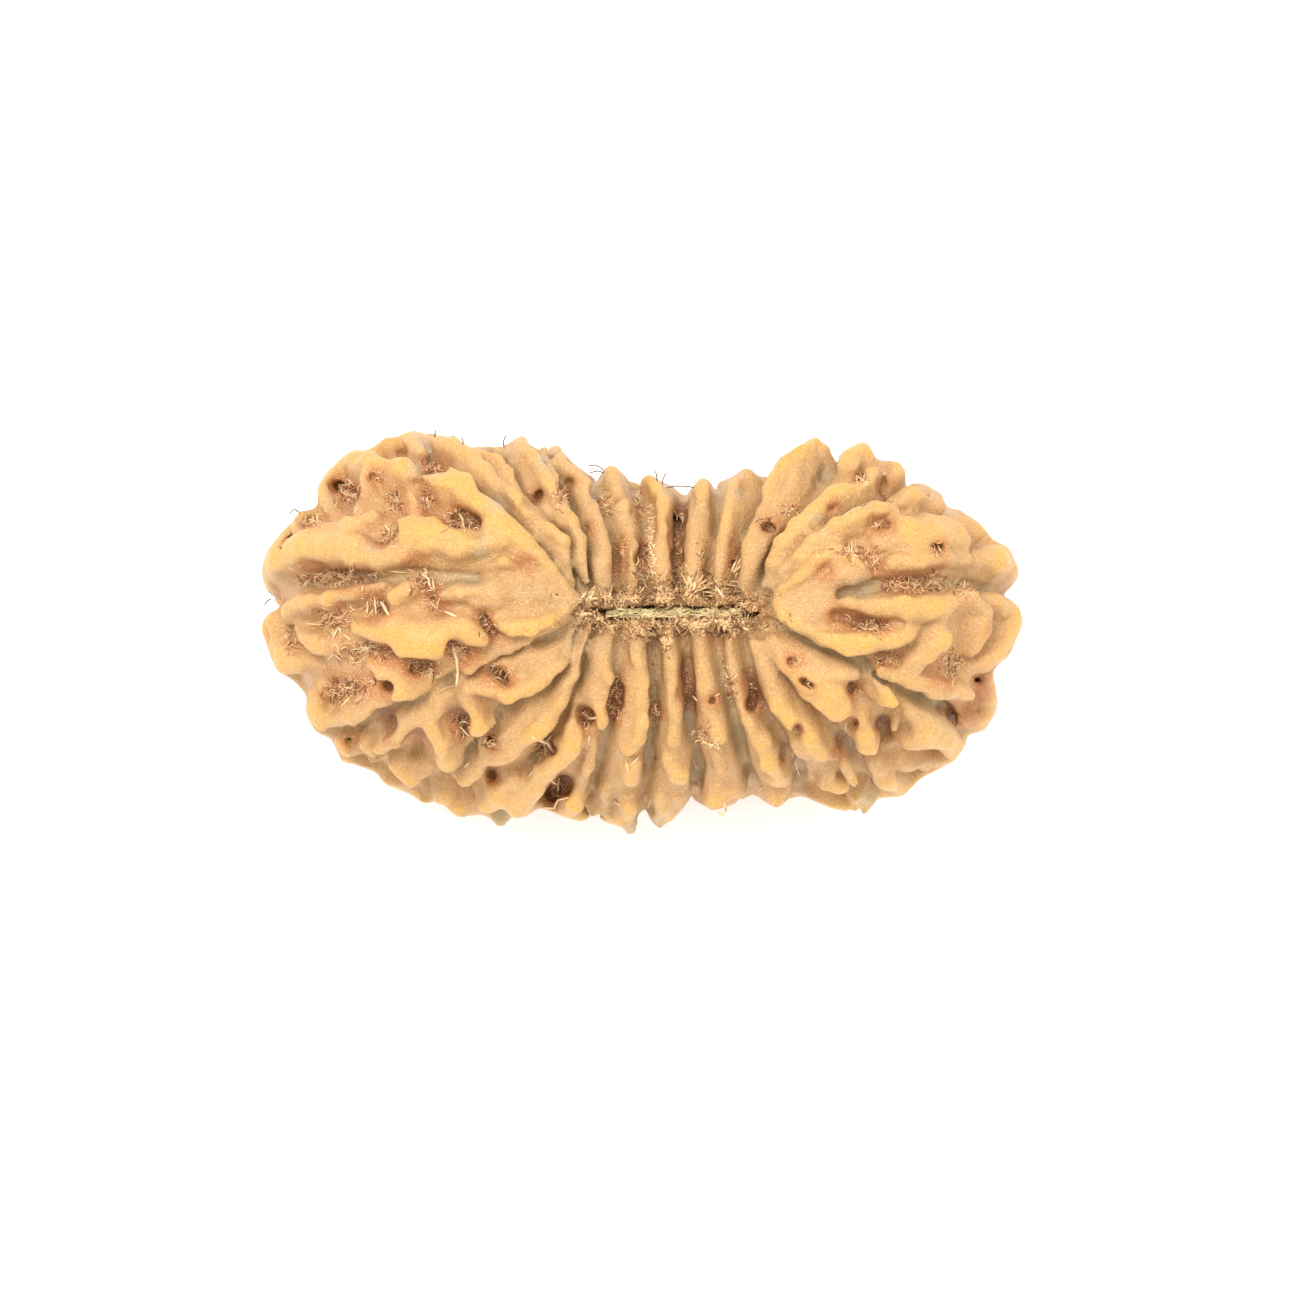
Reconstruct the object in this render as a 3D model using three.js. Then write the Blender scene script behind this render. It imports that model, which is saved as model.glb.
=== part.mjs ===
import * as THREE from 'three';

// A rudraksha stone with twenty-two ribs and the dried strand in its slit. Millimetres, +Z up.
// The slit of the upper pole runs along X. The stone rests on the low knobs of its two ends.

// places below are read as seen from above and a little in front: u to the right, v up, both from
// the middle of the slit; the eye stands EYE_FAR away, EYE_TILT degrees above the horizon
const EYE_TILT = 76;
const EYE_FAR = 360;

// the stone without its ribs: two swollen ends and a waist, centre and half axes, z from mid height
const LEFT_END = [[-10.2, 0, 0], [9.3, 8.2, 11.7]];
const RIGHT_END = [[8.6, -0.1, 0], [7.9, 7.9, 11.3]];
const WAIST = [[-0.5, -1.5, -0.8], [8.5, 7.4, 8.8]];
const BLEND = 5;
// the creases between ribs lie this much lower than the level the crests are measured from
const VALLEY_DROP = 0.65;
// a rib swells this much over its creases, most of it within SWELL_REACH of them
const SWELL = 1.25;
const SWELL_REACH = 0.5;
// ridges widen by this much per millimetre toward their foot; their crest is narrower by the share
const FOOT = 0.5;
const CREST_SHARE = 0.8;
const RIDGE_BLEND = 0.28;
// fine groove along each crease
const GROOVE_DEPTH = 0.22;
const GROOVE_WIDTH = 0.28;

// depth of the slit under its lip, and how much narrower its floor is
const SLIT_DEPTH = 1.3;
const SLIT_FLOOR_SHARE = 0.88;
// the strand in the slit
const STRAND_LENGTH = 6.4;
const STRAND_WIDTH = 0.6;
const STRAND_HEIGHT = 0.8;
const STRAND_V = 0.12;
const STRAND_CLEARANCE = 0.34;

// where the finished stone stands: its middle over the origin, its worn lowest knobs on the plane
const MOVE = [1.483, 0.423, 11.5];

// mesh: bands from the slit to the lower pole
const BANDS = 38;

// Ridge crests, one list per crest: [u, v, height of its middle over the valley level, radius].
const RIDGES = [
  // rib 22
  [[-5.1,.85,.2,.4], [-5.9,.9,-.2,.9], [-7,1.2,-.8,1.5], [-8.2,1.2,-1.3,1.9], [-9.3,1.1,-1,1.5]],
  [[-4.85,.85,.55,.2], [-5.4,.2,.55,.32], [-6.1,-.2,.55,.42], [-7.1,-.45,.5,.45], [-8,-.5,.4,.45],
    [-8.6,-.4,.3,.4]],
  [[-4.85,.95,.55,.2], [-5.35,1.6,.55,.34], [-5.9,2.3,.55,.42], [-6.6,3,.5,.5], [-7.3,3.65,.45,.58],
    [-8.1,4.3,.4,.65], [-8.9,4.95,.45,.7], [-9.6,5.5,.5,.72], [-10.5,6.2,.5,.75], [-11.4,6.6,.5,.72],
    [-12.2,6.75,.4,.65]],
  [[-9.1,2.6,0,.4], [-8.5,2.85,.35,.5], [-8,2.6,.2,.4]],
  [[-11.5,1.05,.1,.3], [-10.5,1.2,.3,.38], [-9.5,1.2,.25,.34]],
  [[-7.2,2.1,-.9,1.3], [-7.9,3.2,-.6,1.1]],
  [[-8.6,3.9,-.2,1], [-9.7,3.75,-.1,.95], [-10.8,3.5,0,1.05], [-12,3.8,0,1.15], [-13.1,4.2,.1,1]],
  [[-13,3.4,-.3,1], [-14.4,2.9,-.2,.85], [-15.6,3.2,0,.95], [-16.8,3.4,.1,1], [-18,3.4,.1,1],
    [-19.2,2.9,0,1], [-19.8,2.2,0,.85]],
  [[-14.9,4.7,0,.55], [-16,4.3,.1,.8], [-17.2,4.1,.1,.7], [-18.7,4.2,0,.6], [-19.5,3.4,-.1,.7]],
  [[-17.2,5.2,0,.4], [-17.1,6.2,0,.62], [-16.7,7,.1,.7], [-15.9,7.6,.2,.75], [-15,7.6,.2,.75],
    [-14.4,7.4,.2,.65], [-13.6,7.2,.2,.7], [-12.9,7,.2,.5]],
  [[-15.1,6.9,0,.55], [-15.1,6,-.1,.5], [-15.6,5.2,-.1,.45]],
  [[-12.5,7.9,0,.6], [-12.95,8.6,.2,.85]],
  [[-14.3,8.7,-.3,.33]],
  [[-8.7,6.3,0,.7], [-9.5,7.1,.2,.85], [-10.2,7.7,.2,.8], [-11,8.35,.2,.72], [-11.5,8.5,.1,.6]],
  [[-13,5.3,.1,.5], [-13,6.05,.6,.27]],
  // rib 21
  [[-4.95,1.6,0,.35], [-5.35,2.6,.2,.5], [-5.65,3.5,.3,.6], [-6.3,4.2,.4,.62], [-6.95,4.9,.4,.62],
    [-7.5,5.5,.4,.62], [-8.1,6,.3,.55], [-8.5,6.5,.2,.5]],
  [[-7.7,6.3,.2,.28], [-8.2,7.2,.4,.3], [-8.8,7.85,.4,.3], [-9.6,8.2,.3,.28]],
  // rib 20
  [[-4.3,1.7,0,.35], [-4.5,2.8,.2,.42], [-4.7,3.8,.3,.5], [-5.2,4.7,.3,.55], [-5.8,5.6,.3,.55],
    [-6.3,6.4,.3,.5], [-6.8,7.2,.3,.48], [-7.2,8,.3,.42], [-7.45,8.75,.3,.38]],
  [[-6,6.6,.1,.35], [-6.25,7.5,.1,.33], [-6.4,8.3,.1,.33]],
  // rib 19
  [[-3.6,1.7,0,.45], [-3.5,2.7,.1,.58], [-3.5,3.6,.1,.58], [-3.8,4.6,.15,.5], [-4.1,5.6,.2,.42],
    [-4.3,6.5,.2,.4], [-4.9,7.2,.2,.42], [-5.5,7.8,.2,.38], [-5.75,8.35,.2,.28]],
  // rib 18
  [[-1.95,2.2,.1,.2], [-1.9,3.1,.3,.26], [-1.8,3.8,.3,.22]],
  [[-2.6,5.1,.1,.62], [-2.5,5.6,.1,.5]],
  [[-2.7,6.2,.1,.5], [-3,7.15,.1,.5]],
  // rib 17
  [[-.5,1.7,.1,.26], [-.5,2.5,.25,.3], [-.6,3.4,.3,.32], [-.45,4.4,.35,.36], [-.45,5.5,.35,.42],
    [-.8,6.2,.3,.46], [-1.15,6.75,.2,.4]],
  // rib 16
  [[1.2,2.2,0,.34], [1.05,3.4,.15,.38], [.95,4.6,.2,.32]],
  [[1.6,5,0,.26], [1.75,5.8,.2,.34], [1.55,6.6,.25,.4]],
  // rib 15
  [[2.15,1.8,.1,.3], [2.3,2.7,.25,.33], [2.5,3.7,.35,.36], [2.8,4.7,.4,.4], [3,5.7,.45,.4],
    [3.2,6.6,.4,.4]],
  [[3.7,6.5,0,.4], [3.8,7.05,.1,.42]],
  // rib 14
  [[3.7,1.6,0,.42], [3.8,2.6,.1,.52], [3.9,3.5,.2,.52], [4.15,4.3,.2,.45], [4.5,5.1,.2,.4],
    [4.9,5.9,.25,.5], [5.3,6.8,.3,.55], [5.8,7.5,.3,.6], [6.5,8.1,.3,.6], [7.05,8.5,.3,.5]],
  [[5.2,5.4,.1,.5], [5.8,6.1,.15,.45], [6.15,7,.25,.42], [6.2,7.5,.2,.4]],
  [[7.6,8.2,0,.45]],
  // rib 13
  [[4.7,1.6,0,.4], [5.1,2.6,.1,.5], [5.7,3.6,.2,.62], [6.4,4.5,.3,.7], [7.2,5.2,.35,.72],
    [8,5.9,.35,.7], [8.8,6.15,.35,.62], [9.6,6.4,.3,.58], [9.9,7.1,.3,.5]],
  [[8.7,7.2,0,.6], [9,7.9,.1,.6], [9.55,8.2,.2,.6]],
  // rib 12
  [[5.1,.75,.2,.4], [5.8,.7,-.2,.9], [6.8,.7,-.8,1.5], [7.6,.5,-1.1,1.7]],
  [[4.9,1.5,.3,.28], [5.6,2.35,.3,.4], [6.4,3,.3,.5], [7.2,3.8,.35,.6], [8.2,4.4,.4,.65],
    [9.2,4.9,.4,.65], [10.1,5.2,.3,.55], [10.8,5.2,.15,.5]],
  [[4.95,.9,.55,.2], [5.5,1.45,.6,.32], [6.4,2,.6,.42], [7.2,2.75,.5,.48], [8.1,3.3,.4,.52],
    [9,2.95,.4,.5], [9.9,2.45,.3,.42]],
  [[7,1.5,-.9,1.3], [8.3,2.1,-.7,1.2], [9.3,2,-.3,.8]],
  [[10.2,3.7,-.3,.7], [11.4,3.9,-.3,1.3], [12.6,4,-.3,1.4], [13.7,3.9,-.3,1.2]],
  [[11,2.6,0,.6], [12.2,2.85,.1,.55], [13.6,3,.1,.55], [14.4,2.9,0,.55]],
  [[14.3,4.6,-.1,.75], [15,4.3,-.1,.7]],
  [[14.8,2.8,-.2,.9], [15.7,2.7,-.2,1], [16.4,2.7,-.1,.85]],
  [[16.1,3.2,0,.65]],
  [[11,5.7,-.1,.55], [11.9,5.75,0,.72], [12.4,5.7,-.1,.55]],
  [[12.8,5.75,-.1,.55], [13.05,5.7,-.1,.5]],
  [[12.5,6.35,-.3,.25]],
  [[10.8,6.9,0,.6], [11.2,7.15,0,.62]],
  // rib 11
  [[9.3,.55,0,.4], [10.2,.6,.1,.65], [11.4,.55,.1,.8], [12.7,.5,.1,.85], [13.5,.6,.1,.7]],
  [[13.2,0,0,.8], [13.1,-.8,0,.9], [12.5,-1.5,0,.7], [11.8,-2.2,0,.55]],
  [[4.95,.65,.55,.2], [5.6,.15,.6,.32], [6.5,-.45,.55,.42], [7.5,-1,.45,.55], [8.7,-1.3,.35,.68],
    [9.8,-1.35,.35,.68], [10.8,-1.1,.3,.64], [11.8,-.75,.2,.64]],
  [[8.2,.5,.1,.3], [9.2,.6,.2,.4]],
  [[10.4,-2.6,.1,.45], [11.6,-3,.15,.5], [12.8,-3.5,.2,.52], [14,-3.75,.15,.6], [14.7,-3.6,.1,.6],
    [14.9,-2.9,0,.5]],
  [[14.9,1,-.1,.7], [15.4,.2,0,.75], [15.2,-.6,0,.7], [14.9,-1.5,-.1,.5]],
  [[16,.8,-.1,.6], [16.7,.2,0,.8], [16.6,-.6,0,.75], [16,-1.6,0,.72], [15.4,-2.2,0,.62]],
  [[15.75,-2.9,0,.33], [15.8,-3.8,0,.42], [15.65,-4.7,0,.58], [15,-5.1,-.1,.55]],
  // rib 10
  [[10,-3,0,.35], [10.4,-3.6,.3,.45], [10.6,-4.25,.7,.55]],
  [[11,-5,.1,.28], [11.05,-5.6,.3,.26]],
  [[11.7,-4.5,0,.6], [12.5,-5.2,.1,1], [13.3,-5.8,.1,.95], [13.9,-6.2,0,.78]],
  [[11.8,-5.9,.1,.65], [12.9,-6.1,.1,.65]],
  [[9.3,-4.9,.2,.55], [9.55,-5.7,.3,.65], [9.75,-6.35,.4,.62]],
  [[10,-7.3,.1,.42], [10.6,-7.9,0,.6], [11.2,-8.25,0,.68]],
  [[11.5,-7.3,-.2,.55], [12.6,-7.1,-.3,.6], [13.8,-6.7,-.2,.55]],
  // rib 9
  [[5.2,-1.2,-.3,.8], [6,-2.2,-.1,.95], [7,-3.1,.1,1.1], [7.8,-3.8,.25,1.05], [8.4,-4.35,.3,.8]],
  [[7.2,-2.2,-.2,.8], [8.2,-2.7,0,.8], [8.9,-2.7,0,.6]],
  [[8.8,-4.6,.1,.5]],
  // rib 8
  [[4.2,-1.2,0,.4], [4.6,-2.2,.1,.5], [4.95,-3.2,.2,.6], [5.4,-4.2,.3,.7], [6,-5,.35,.72],
    [6.8,-5.8,.4,.72], [7.4,-6.7,.45,.6]],
  [[6.2,-6.1,.2,.5], [6.8,-6.85,.3,.52]],
  [[7.7,-7.4,-.1,.55], [7.6,-8.1,0,.6], [8.3,-8.3,0,.55]],
  [[8.5,-7.2,.2,.45], [9,-8,.4,.45]],
  [[7.4,-8.95,-.3,.48], [8.4,-9.1,-.4,.45]],
  [[9.3,-8.6,0,.5], [9.6,-9.3,.2,.64]],
  // rib 7b
  [[2.9,-1.6,0,.28], [3,-2.6,.1,.3], [3.25,-3.6,.2,.33], [3.55,-4.5,.25,.35], [3.85,-5.2,.3,.45],
    [4.4,-6,.3,.6], [4.75,-6.9,.3,.68], [5.1,-7.8,.3,.72], [5.3,-8,.2,.7]],
  [[5.25,-8.8,0,.55]],
  // rib 7
  [[1.5,-1.4,0,.38], [1.6,-2.4,.1,.42], [1.75,-3.4,.2,.48], [1.95,-4.4,.25,.52], [2.15,-5.3,.3,.54],
    [2.35,-5.9,.35,.48]],
  [[2.3,-6.8,.05,.5], [2.45,-7.6,.25,.5]],
  [[2.3,-8.3,-.1,.6], [2.05,-9,.1,.58]],
  [[2.9,-8.5,-.1,.5]],
  [[3.3,-7.6,-.2,.28], [3.35,-8.7,-.2,.4]],
  // rib 6
  [[.1,-1.2,0,.25], [.05,-2.3,.15,.33], [.1,-3.5,.25,.38], [.15,-4.6,.3,.42], [.15,-5.6,.3,.42],
    [.1,-6.1,.25,.38]],
  [[-.1,-6.9,.1,.6], [.25,-7.6,.2,.62], [.45,-7.9,.2,.55]],
  [[-.6,-8.5,-.1,.45], [-.5,-9.3,0,.48], [-.6,-10.15,.2,.5]],
  [[.35,-8.7,-.2,.38], [.3,-9.35,-.2,.35]],
  // rib 5
  [[-1.9,-1.2,0,.33], [-1.75,-2.2,.15,.42], [-1.55,-3.2,.25,.45], [-1.5,-4.3,.3,.45],
    [-1.5,-5.2,.3,.48], [-1.75,-6,.35,.55], [-2.1,-6.5,.35,.5]],
  [[-2.4,-5.3,.1,.42], [-2.5,-6.2,.15,.48]],
  [[-2.1,-7.2,.1,.7], [-1.95,-7.95,.25,.68]],
  [[-2,-9.2,0,.5], [-2.1,-10.4,.3,.48]],
  // rib 4
  [[-3.7,-1,0,.45], [-3.6,-1.9,.1,.6], [-3.4,-2.9,.2,.58], [-3.45,-3.7,.2,.45], [-3.75,-4.4,.25,.5],
    [-3.65,-5.2,.35,.5]],
  [[-3.3,-8.4,-.1,.33], [-3.3,-9.5,0,.42]],
  [[-3.9,-9.9,-.3,.38]],
  // rib 3d
  [[-3.95,-6.2,0,.35], [-4.2,-7.2,.1,.45], [-4.6,-8.1,.15,.55], [-4.9,-8.9,.15,.58],
    [-5.2,-9.4,.1,.48]],
  // rib 3c
  [[-4.7,-4.3,0,.28], [-5,-5.3,.2,.55], [-5.15,-6.2,.35,.72], [-5.7,-6.9,.35,.6], [-6.3,-7.6,.3,.58],
    [-6.9,-8.3,.25,.66], [-7.6,-8.9,.2,.7], [-7.9,-9.4,.1,.68]],
  [[-8.6,-10.05,0,.6]],
  // rib 3
  [[-4.6,-2.2,.1,.22], [-4.9,-3.1,.2,.4], [-5.6,-4.1,.3,.52], [-6.3,-5,.35,.58], [-7,-5.7,.4,.6],
    [-7.9,-6.5,.35,.62], [-8.6,-6.9,.3,.6], [-9.4,-7.4,.25,.58], [-10.3,-7.9,.15,.52]],
  [[-7.5,-4.9,0,.4], [-8.2,-5.8,.05,.4], [-9.4,-6.7,0,.4]],
  [[-7.8,-7.9,.1,.45], [-8.6,-8.6,0,.5], [-9.2,-8.9,0,.58]],
  [[-10.4,-9.2,-.1,.75]],
  [[-11.4,-8.6,-.1,.62]],
  [[-12.3,-8.9,-.2,.48]],
  // rib 2
  [[-5,-1.3,0,.35], [-5.6,-2.2,.1,.42], [-6.4,-2.9,.2,.5], [-7.3,-3.4,.3,.55], [-8.3,-3.8,.35,.5],
    [-9.2,-3.65,.25,.42], [-10.2,-3.6,.2,.42]],
  [[-7,-1.2,-.1,.4], [-8.2,-1.6,0,.38], [-9.4,-2.2,.1,.4], [-10.2,-2.7,.1,.42]],
  [[-10.3,-4,.1,.5], [-9.9,-4.8,.3,.6], [-9.7,-5.35,.45,.58]],
  [[-9.1,-5.1,.1,.4]],
  [[-11.6,-4.5,0,.6], [-12.7,-4.8,0,.5], [-13.3,-5.3,.1,.5], [-13.9,-6.1,.2,.52], [-14.5,-6.4,.1,.48]],
  [[-12,-5.2,.1,.7], [-11.55,-6.2,.3,.75], [-11.2,-7.1,.45,.68]],
  [[-13.7,-7.2,-.1,.7], [-13,-7.9,0,.62], [-12.3,-7.7,-.1,.5]],
  [[-13.2,-8.2,-.2,.42]],
  [[-16.3,-6.2,-.1,.55], [-16,-6.6,-.1,.5]],
  [[-15.4,-6.1,-.1,.5], [-14.9,-6.6,-.1,.45]],
  [[-15,-7,-.3,.45]],
  [[-14.3,-7.8,-.3,.42]],
  // rib 1
  [[-9.6,-1,.2,.55], [-10.5,-.6,.1,.85], [-11.8,-.9,-.1,1.3], [-12.9,-.9,-.2,1.4], [-13.8,-.5,-.1,1.1],
    [-14.6,-.8,0,.8], [-15.6,-.4,0,.65]],
  [[-12.9,1.3,0,.6], [-13.6,.8,0,.75]],
  [[-14.3,1.5,0,.4], [-15.8,1.3,0,.4], [-17,1,.1,.55], [-18.3,.7,0,.75], [-19,.2,0,.75]],
  [[-19.7,-.3,0,.85], [-19.6,-1.3,0,.8], [-19.1,-2.1,0,.8], [-18.3,-2.3,-.1,.7]],
  [[-18.5,-.7,-.1,.6], [-17.6,-1.3,0,.65], [-17,-1.5,0,.55]],
  [[-14.9,-2.3,.1,.5], [-14.2,-2.8,.2,.75], [-13.5,-3.5,.35,.78], [-12.8,-3.8,.2,.45]],
  [[-17,-4.9,0,.55], [-15.9,-4.8,.1,.66], [-15,-4.5,.15,.58], [-14.4,-4.3,.1,.5]],
  [[-17.6,-3.4,-.1,.5], [-17.6,-4.4,0,.62], [-17.4,-5,0,.62]],
  [[-15.3,-3.9,-.2,.5], [-14.8,-3.7,-.1,.4]],
];

// Hollows in and between the ridges, the same four numbers; they open toward the eye.
const HOLLOWS = [
  [[-11.2,5,.2,.35], [-10.6,4.9,-.1,.5], [-9.9,4.6,-.1,.45]],
  [[-16.6,6.6,.3,.3], [-16.1,6.2,.1,.42], [-15.9,5.7,.1,.4]],
  [[-14.1,6.2,.2,.5], [-14,5.7,.2,.45], [-13.6,5.4,.2,.3]],
  [[-12.7,6.6,.3,.3], [-12.4,6.1,.2,.3], [-12.1,5.4,.2,.3]],
  [[-14.5,3.9,.2,.4], [-14.1,4.3,.2,.4]],
  [[-18.1,4.8,.3,.3], [-17.7,4.6,.4,.25]],
  [[-12,7.6,.1,.4], [-11.6,7.4,.1,.35]],
  [[-12.85,2.6,.2,.4]],
  [[-18.3,2.2,.2,.35], [-17.6,2.1,.1,.45], [-16.6,1.9,.1,.4], [-15.7,1.9,.1,.25]],
  [[-15.5,.8,.5,.2], [-15.2,.3,.4,.3], [-14.7,.7,.3,.4], [-14.4,.25,.3,.3]],
  [[-17.6,.1,.2,.35], [-16.8,.1,.2,.35], [-16.7,-.6,.2,.25]],
  [[-12.1,1.9,.1,.25], [-12,1.1,-.3,.3], [-11.7,.5,0,.2]],
  [[-15.9,-1.6,.2,.3], [-15.4,-1.5,.1,.35], [-14.8,-1.7,.2,.25], [-13.9,-1.9,.3,.2]],
  [[-16.3,-1.9,.1,.25], [-15.7,-2,-.1,.3], [-15.7,-2.6,.1,.3]],
  [[-13,-2.6,-.2,.35], [-12.2,-2.6,0,.35], [-11.8,-2.7,.2,.2]],
  [[-10.9,-1.4,.1,.45], [-10.7,-1.9,0,.4], [-10.2,-1.85,.1,.2]],
  [[-9.2,-2.75,.1,.24], [-8.6,-2.95,-.1,.32], [-8.3,-3.2,0,.2]],
  [[-10.55,-5.1,-.2,.4], [-10.5,-5.8,-.2,.35]],
  [[-9,-6.2,0,.3]],
  [[-9,-4.4,.5,.3]],
  [[-12.9,-6.2,-.3,.42], [-12.7,-7,-.2,.36]],
  [[-17,-3.3,0,.4], [-16.3,-3.6,0,.5], [-15.4,-3.4,0,.4]],
  [[-14.3,-3.6,0,.35]],
  [[-14.6,-5.3,0,.35], [-14.1,-5.3,-.2,.4], [-14.2,-5.8,.1,.3]],
  [[-8.9,-7.95,0,.3]],
  [[-6.1,-6.6,0,.35]],
  [[-5.4,-8.3,-.2,.4], [-6,-8.8,-.3,.45]],
  [[-4.35,-4.9,-.1,.35], [-4.25,-5.4,0,.25]],
  [[-2.7,-3.6,-.1,.35], [-2.75,-4.3,-.2,.35], [-3,-5,-.1,.25]],
  [[.75,-2.6,-.2,.2], [.8,-3.6,-.3,.25], [.85,-4.4,-.4,.35]],
  [[3.9,-3.2,-.1,.25], [4.1,-3.9,-.4,.35], [4,-4.5,-.2,.3]],
  [[5.7,-7,.1,.3]],
  [[9,-3.6,0,.3]],
  [[10.4,-5.2,-.5,.45], [10.6,-6,-.5,.4]],
  [[8.3,-6.6,-.1,.4]],
  [[8.2,.1,.2,.25], [9,-.1,.1,.3], [9.6,-.35,0,.35], [10.3,-.4,.1,.3]],
  [[13.2,-2.8,.3,.3], [13.8,-2.4,.2,.4], [14.1,-1.9,.3,.3], [13.7,-3.1,.3,.25]],
  [[13.9,-4.8,-.1,.33], [14.7,-4.9,-.1,.3]],
  [[11.2,1.7,.1,.35], [12,1.6,0,.4], [12.9,1.8,.1,.4], [13.4,2.2,.1,.4]],
  [[13.3,3.5,.5,.3]],
  [[10.55,6.3,-.1,.3], [10.4,6.9,.2,.2]],
  [[-19.8,1.3,.2,.3]],
];

// Lines between neighbouring ribs from the slit to the outline, [u, v], counter-clockwise from the
// left end, each with the number of mesh columns up to the next line.
const LINES = [
  [11, [-4.9,.25], [-5.2,.3], [-7.5,1.4], [-9.6,1.8], [-12,2], [-15.6,2.1], [-18.6,1.9], [-20.1,1.1]],
  [8, [-4.7,-.2], [-5.6,-1], [-7.6,-1.6], [-9.1,-2], [-10.7,-3.2], [-12.1,-4], [-13.8,-4.5],
    [-15.6,-5.3], [-16.9,-5.9]],
  [6, [-4.4,-.4], [-5.3,-1.8], [-6.2,-3.6], [-7.4,-3.9], [-8.6,-5.1], [-9.7,-6.7], [-11.8,-7.9],
    [-12.9,-8.6]],
  [9, [-3.8,-.55], [-4.1,-1.6], [-5.1,-4.1], [-5.9,-5.6], [-6.6,-7], [-7.1,-8.1], [-8.6,-9.4],
    [-9.4,-9.8]],
  [5, [-2.5,-.7], [-2.6,-2.1], [-3,-3.6], [-3.1,-5.1], [-3.4,-6.4], [-3.6,-7.4], [-4.4,-10.2]],
  [4, [-.9,-.7], [-.9,-3.6], [-.9,-5.1], [-1.1,-6.6], [-1.2,-8.2], [-1.3,-10.3]],
  [5, [.5,-.7], [.7,-1.6], [.9,-4.1], [.9,-6.1], [1.3,-7.1], [1.2,-8.9]],
  [4, [2.2,-.7], [2.3,-2], [2.7,-3.6], [3.2,-5.6], [3.7,-7.6], [4.1,-8.6]],
  [6, [3.4,-.6], [3.6,-1.6], [4,-3.6], [4.7,-5], [5.6,-6.4], [6.2,-7.4], [6.4,-8.7]],
  [9, [4.2,-.5], [4.9,-1.3], [5.7,-2.6], [6.8,-4.2], [7.7,-5.3], [8.2,-6.1], [9.3,-7.3], [10.3,-8.9]],
  [11, [4.6,-.25], [6.4,-1.1], [8.9,-2.1], [10.2,-3.1], [11.5,-3.7], [13,-4.4], [14.7,-5.8]],
  [12, [4.8,.1], [7.9,.9], [10.4,1.7], [12,1.6], [14.8,1.5], [16.6,1.2]],
  [6, [4.6,.4], [4.7,1.1], [6.4,2.9], [7.9,4.2], [9.9,5.4], [10.9,5.9], [11.9,6.6]],
  [6, [4,.65], [4.3,1.4], [5.7,4.7], [6.4,5.7], [7.2,6.7], [8.4,8.2]],
  [4, [3.1,.75], [3.2,2.9], [3.4,3.9], [4.3,5.7], [4.8,6.8]],
  [4, [1.7,.8], [1.7,1.4], [2.2,3.9], [2.4,5.9], [2.3,6.6]],
  [4, [.3,.8], [.3,3.9], [.5,5.9], [.6,6.3]],
  [4, [-1.3,.8], [-1.5,2.9], [-1.2,4.4], [-1.5,5.9], [-1.9,6.6]],
  [4, [-2.7,.75], [-2.7,2.9], [-3.3,5.1], [-3.8,6.3], [-3.9,6.9]],
  [4, [-3.8,.7], [-4.1,1.3], [-4.2,3.7], [-4.6,4.7], [-5.9,7.2], [-6.9,8.3]],
  [5, [-4.4,.6], [-4.6,1.2], [-5.2,3.7], [-6.6,5.8], [-7.7,6.6], [-9,8.4]],
  [18, [-4.8,.45], [-5.6,2.2], [-6.6,3.4], [-8.6,5.5], [-10.4,6.6], [-12.3,7.3], [-12,9.1]],
];

// The outline of the stone as seen from above, [u, v], counter-clockwise from the left end.
const OUTLINE = [
  [-20.65,2.2], [-20.5,2.9], [-20.2,3.5], [-19.5,4.3], [-18.95,4.8], [-18.6,5.4], [-18.2,5.3],
  [-17.65,5.6], [-17.75,6.5], [-17.4,7.1], [-16.6,7.9], [-16,8.4], [-15.2,8.35], [-14.3,9.05],
  [-13.9,9], [-12.9,9.5], [-11.9,9.15], [-11,9.15], [-10.2,8.4], [-8.2,8.65], [-7.5,9.2], [-6.9,8.3],
  [-6.4,8.65], [-5.75,8.65], [-4.9,7.6], [-3.9,6.9], [-3,7.65], [-2,6.65], [-1.25,7.2], [-.5,6.7],
  [0,6.5], [1.5,7], [2.1,6.6], [3.1,7], [3.75,7.5], [4.5,6.85], [5.5,8.05], [7.1,9.05], [7.7,8.75],
  [8.4,8.15], [9.6,8.85], [10.25,7.75], [11.3,7.85], [11.85,6.65], [12.55,6.65], [13.5,6.1], [13.7,5.4],
  [14.3,5.45], [15.5,4.6], [16,3.9], [16.9,3.5], [17.5,2.05], [16.65,1.15], [17.5,.3], [17.6,-.2],
  [16.9,-1.7], [16,-2.6], [16.3,-4.3], [15.7,-5.6], [14.65,-5.8], [14.8,-6.5], [14,-7.2], [12.4,-8],
  [11.5,-9], [10.3,-8.95], [9.7,-10], [8,-9.4], [6.2,-8.7], [5.25,-9.55], [4.1,-8.6], [3.05,-9.25],
  [2.05,-9.6], [1.1,-8.9], [.35,-9.7], [-.6,-10.7], [-1.5,-10.6], [-2.05,-11], [-2.8,-10.35],
  [-4.4,-10.3], [-5.3,-9.95], [-6.6,-9.4], [-7.3,-9.9], [-8.6,-10.7], [-9.5,-9.8], [-10.3,-10.05],
  [-11.6,-9.3], [-12.3,-9.5], [-12.75,-9], [-13.2,-8.7], [-14.3,-8.3], [-14.7,-7.7], [-16.6,-7.05],
  [-16.9,-6], [-17.8,-5.7], [-18.3,-4.7], [-18.1,-4], [-18.9,-3.1], [-19.8,-2.6], [-20.6,-.4],
  [-20.1,.7], [-20.05,1.1], [-20.5,1.6],
];

const RAD = Math.PI / 180;
const EYE = [0, -Math.cos(EYE_TILT * RAD), Math.sin(EYE_TILT * RAD)];
const UP = [0, EYE[2], -EYE[1]];

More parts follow.
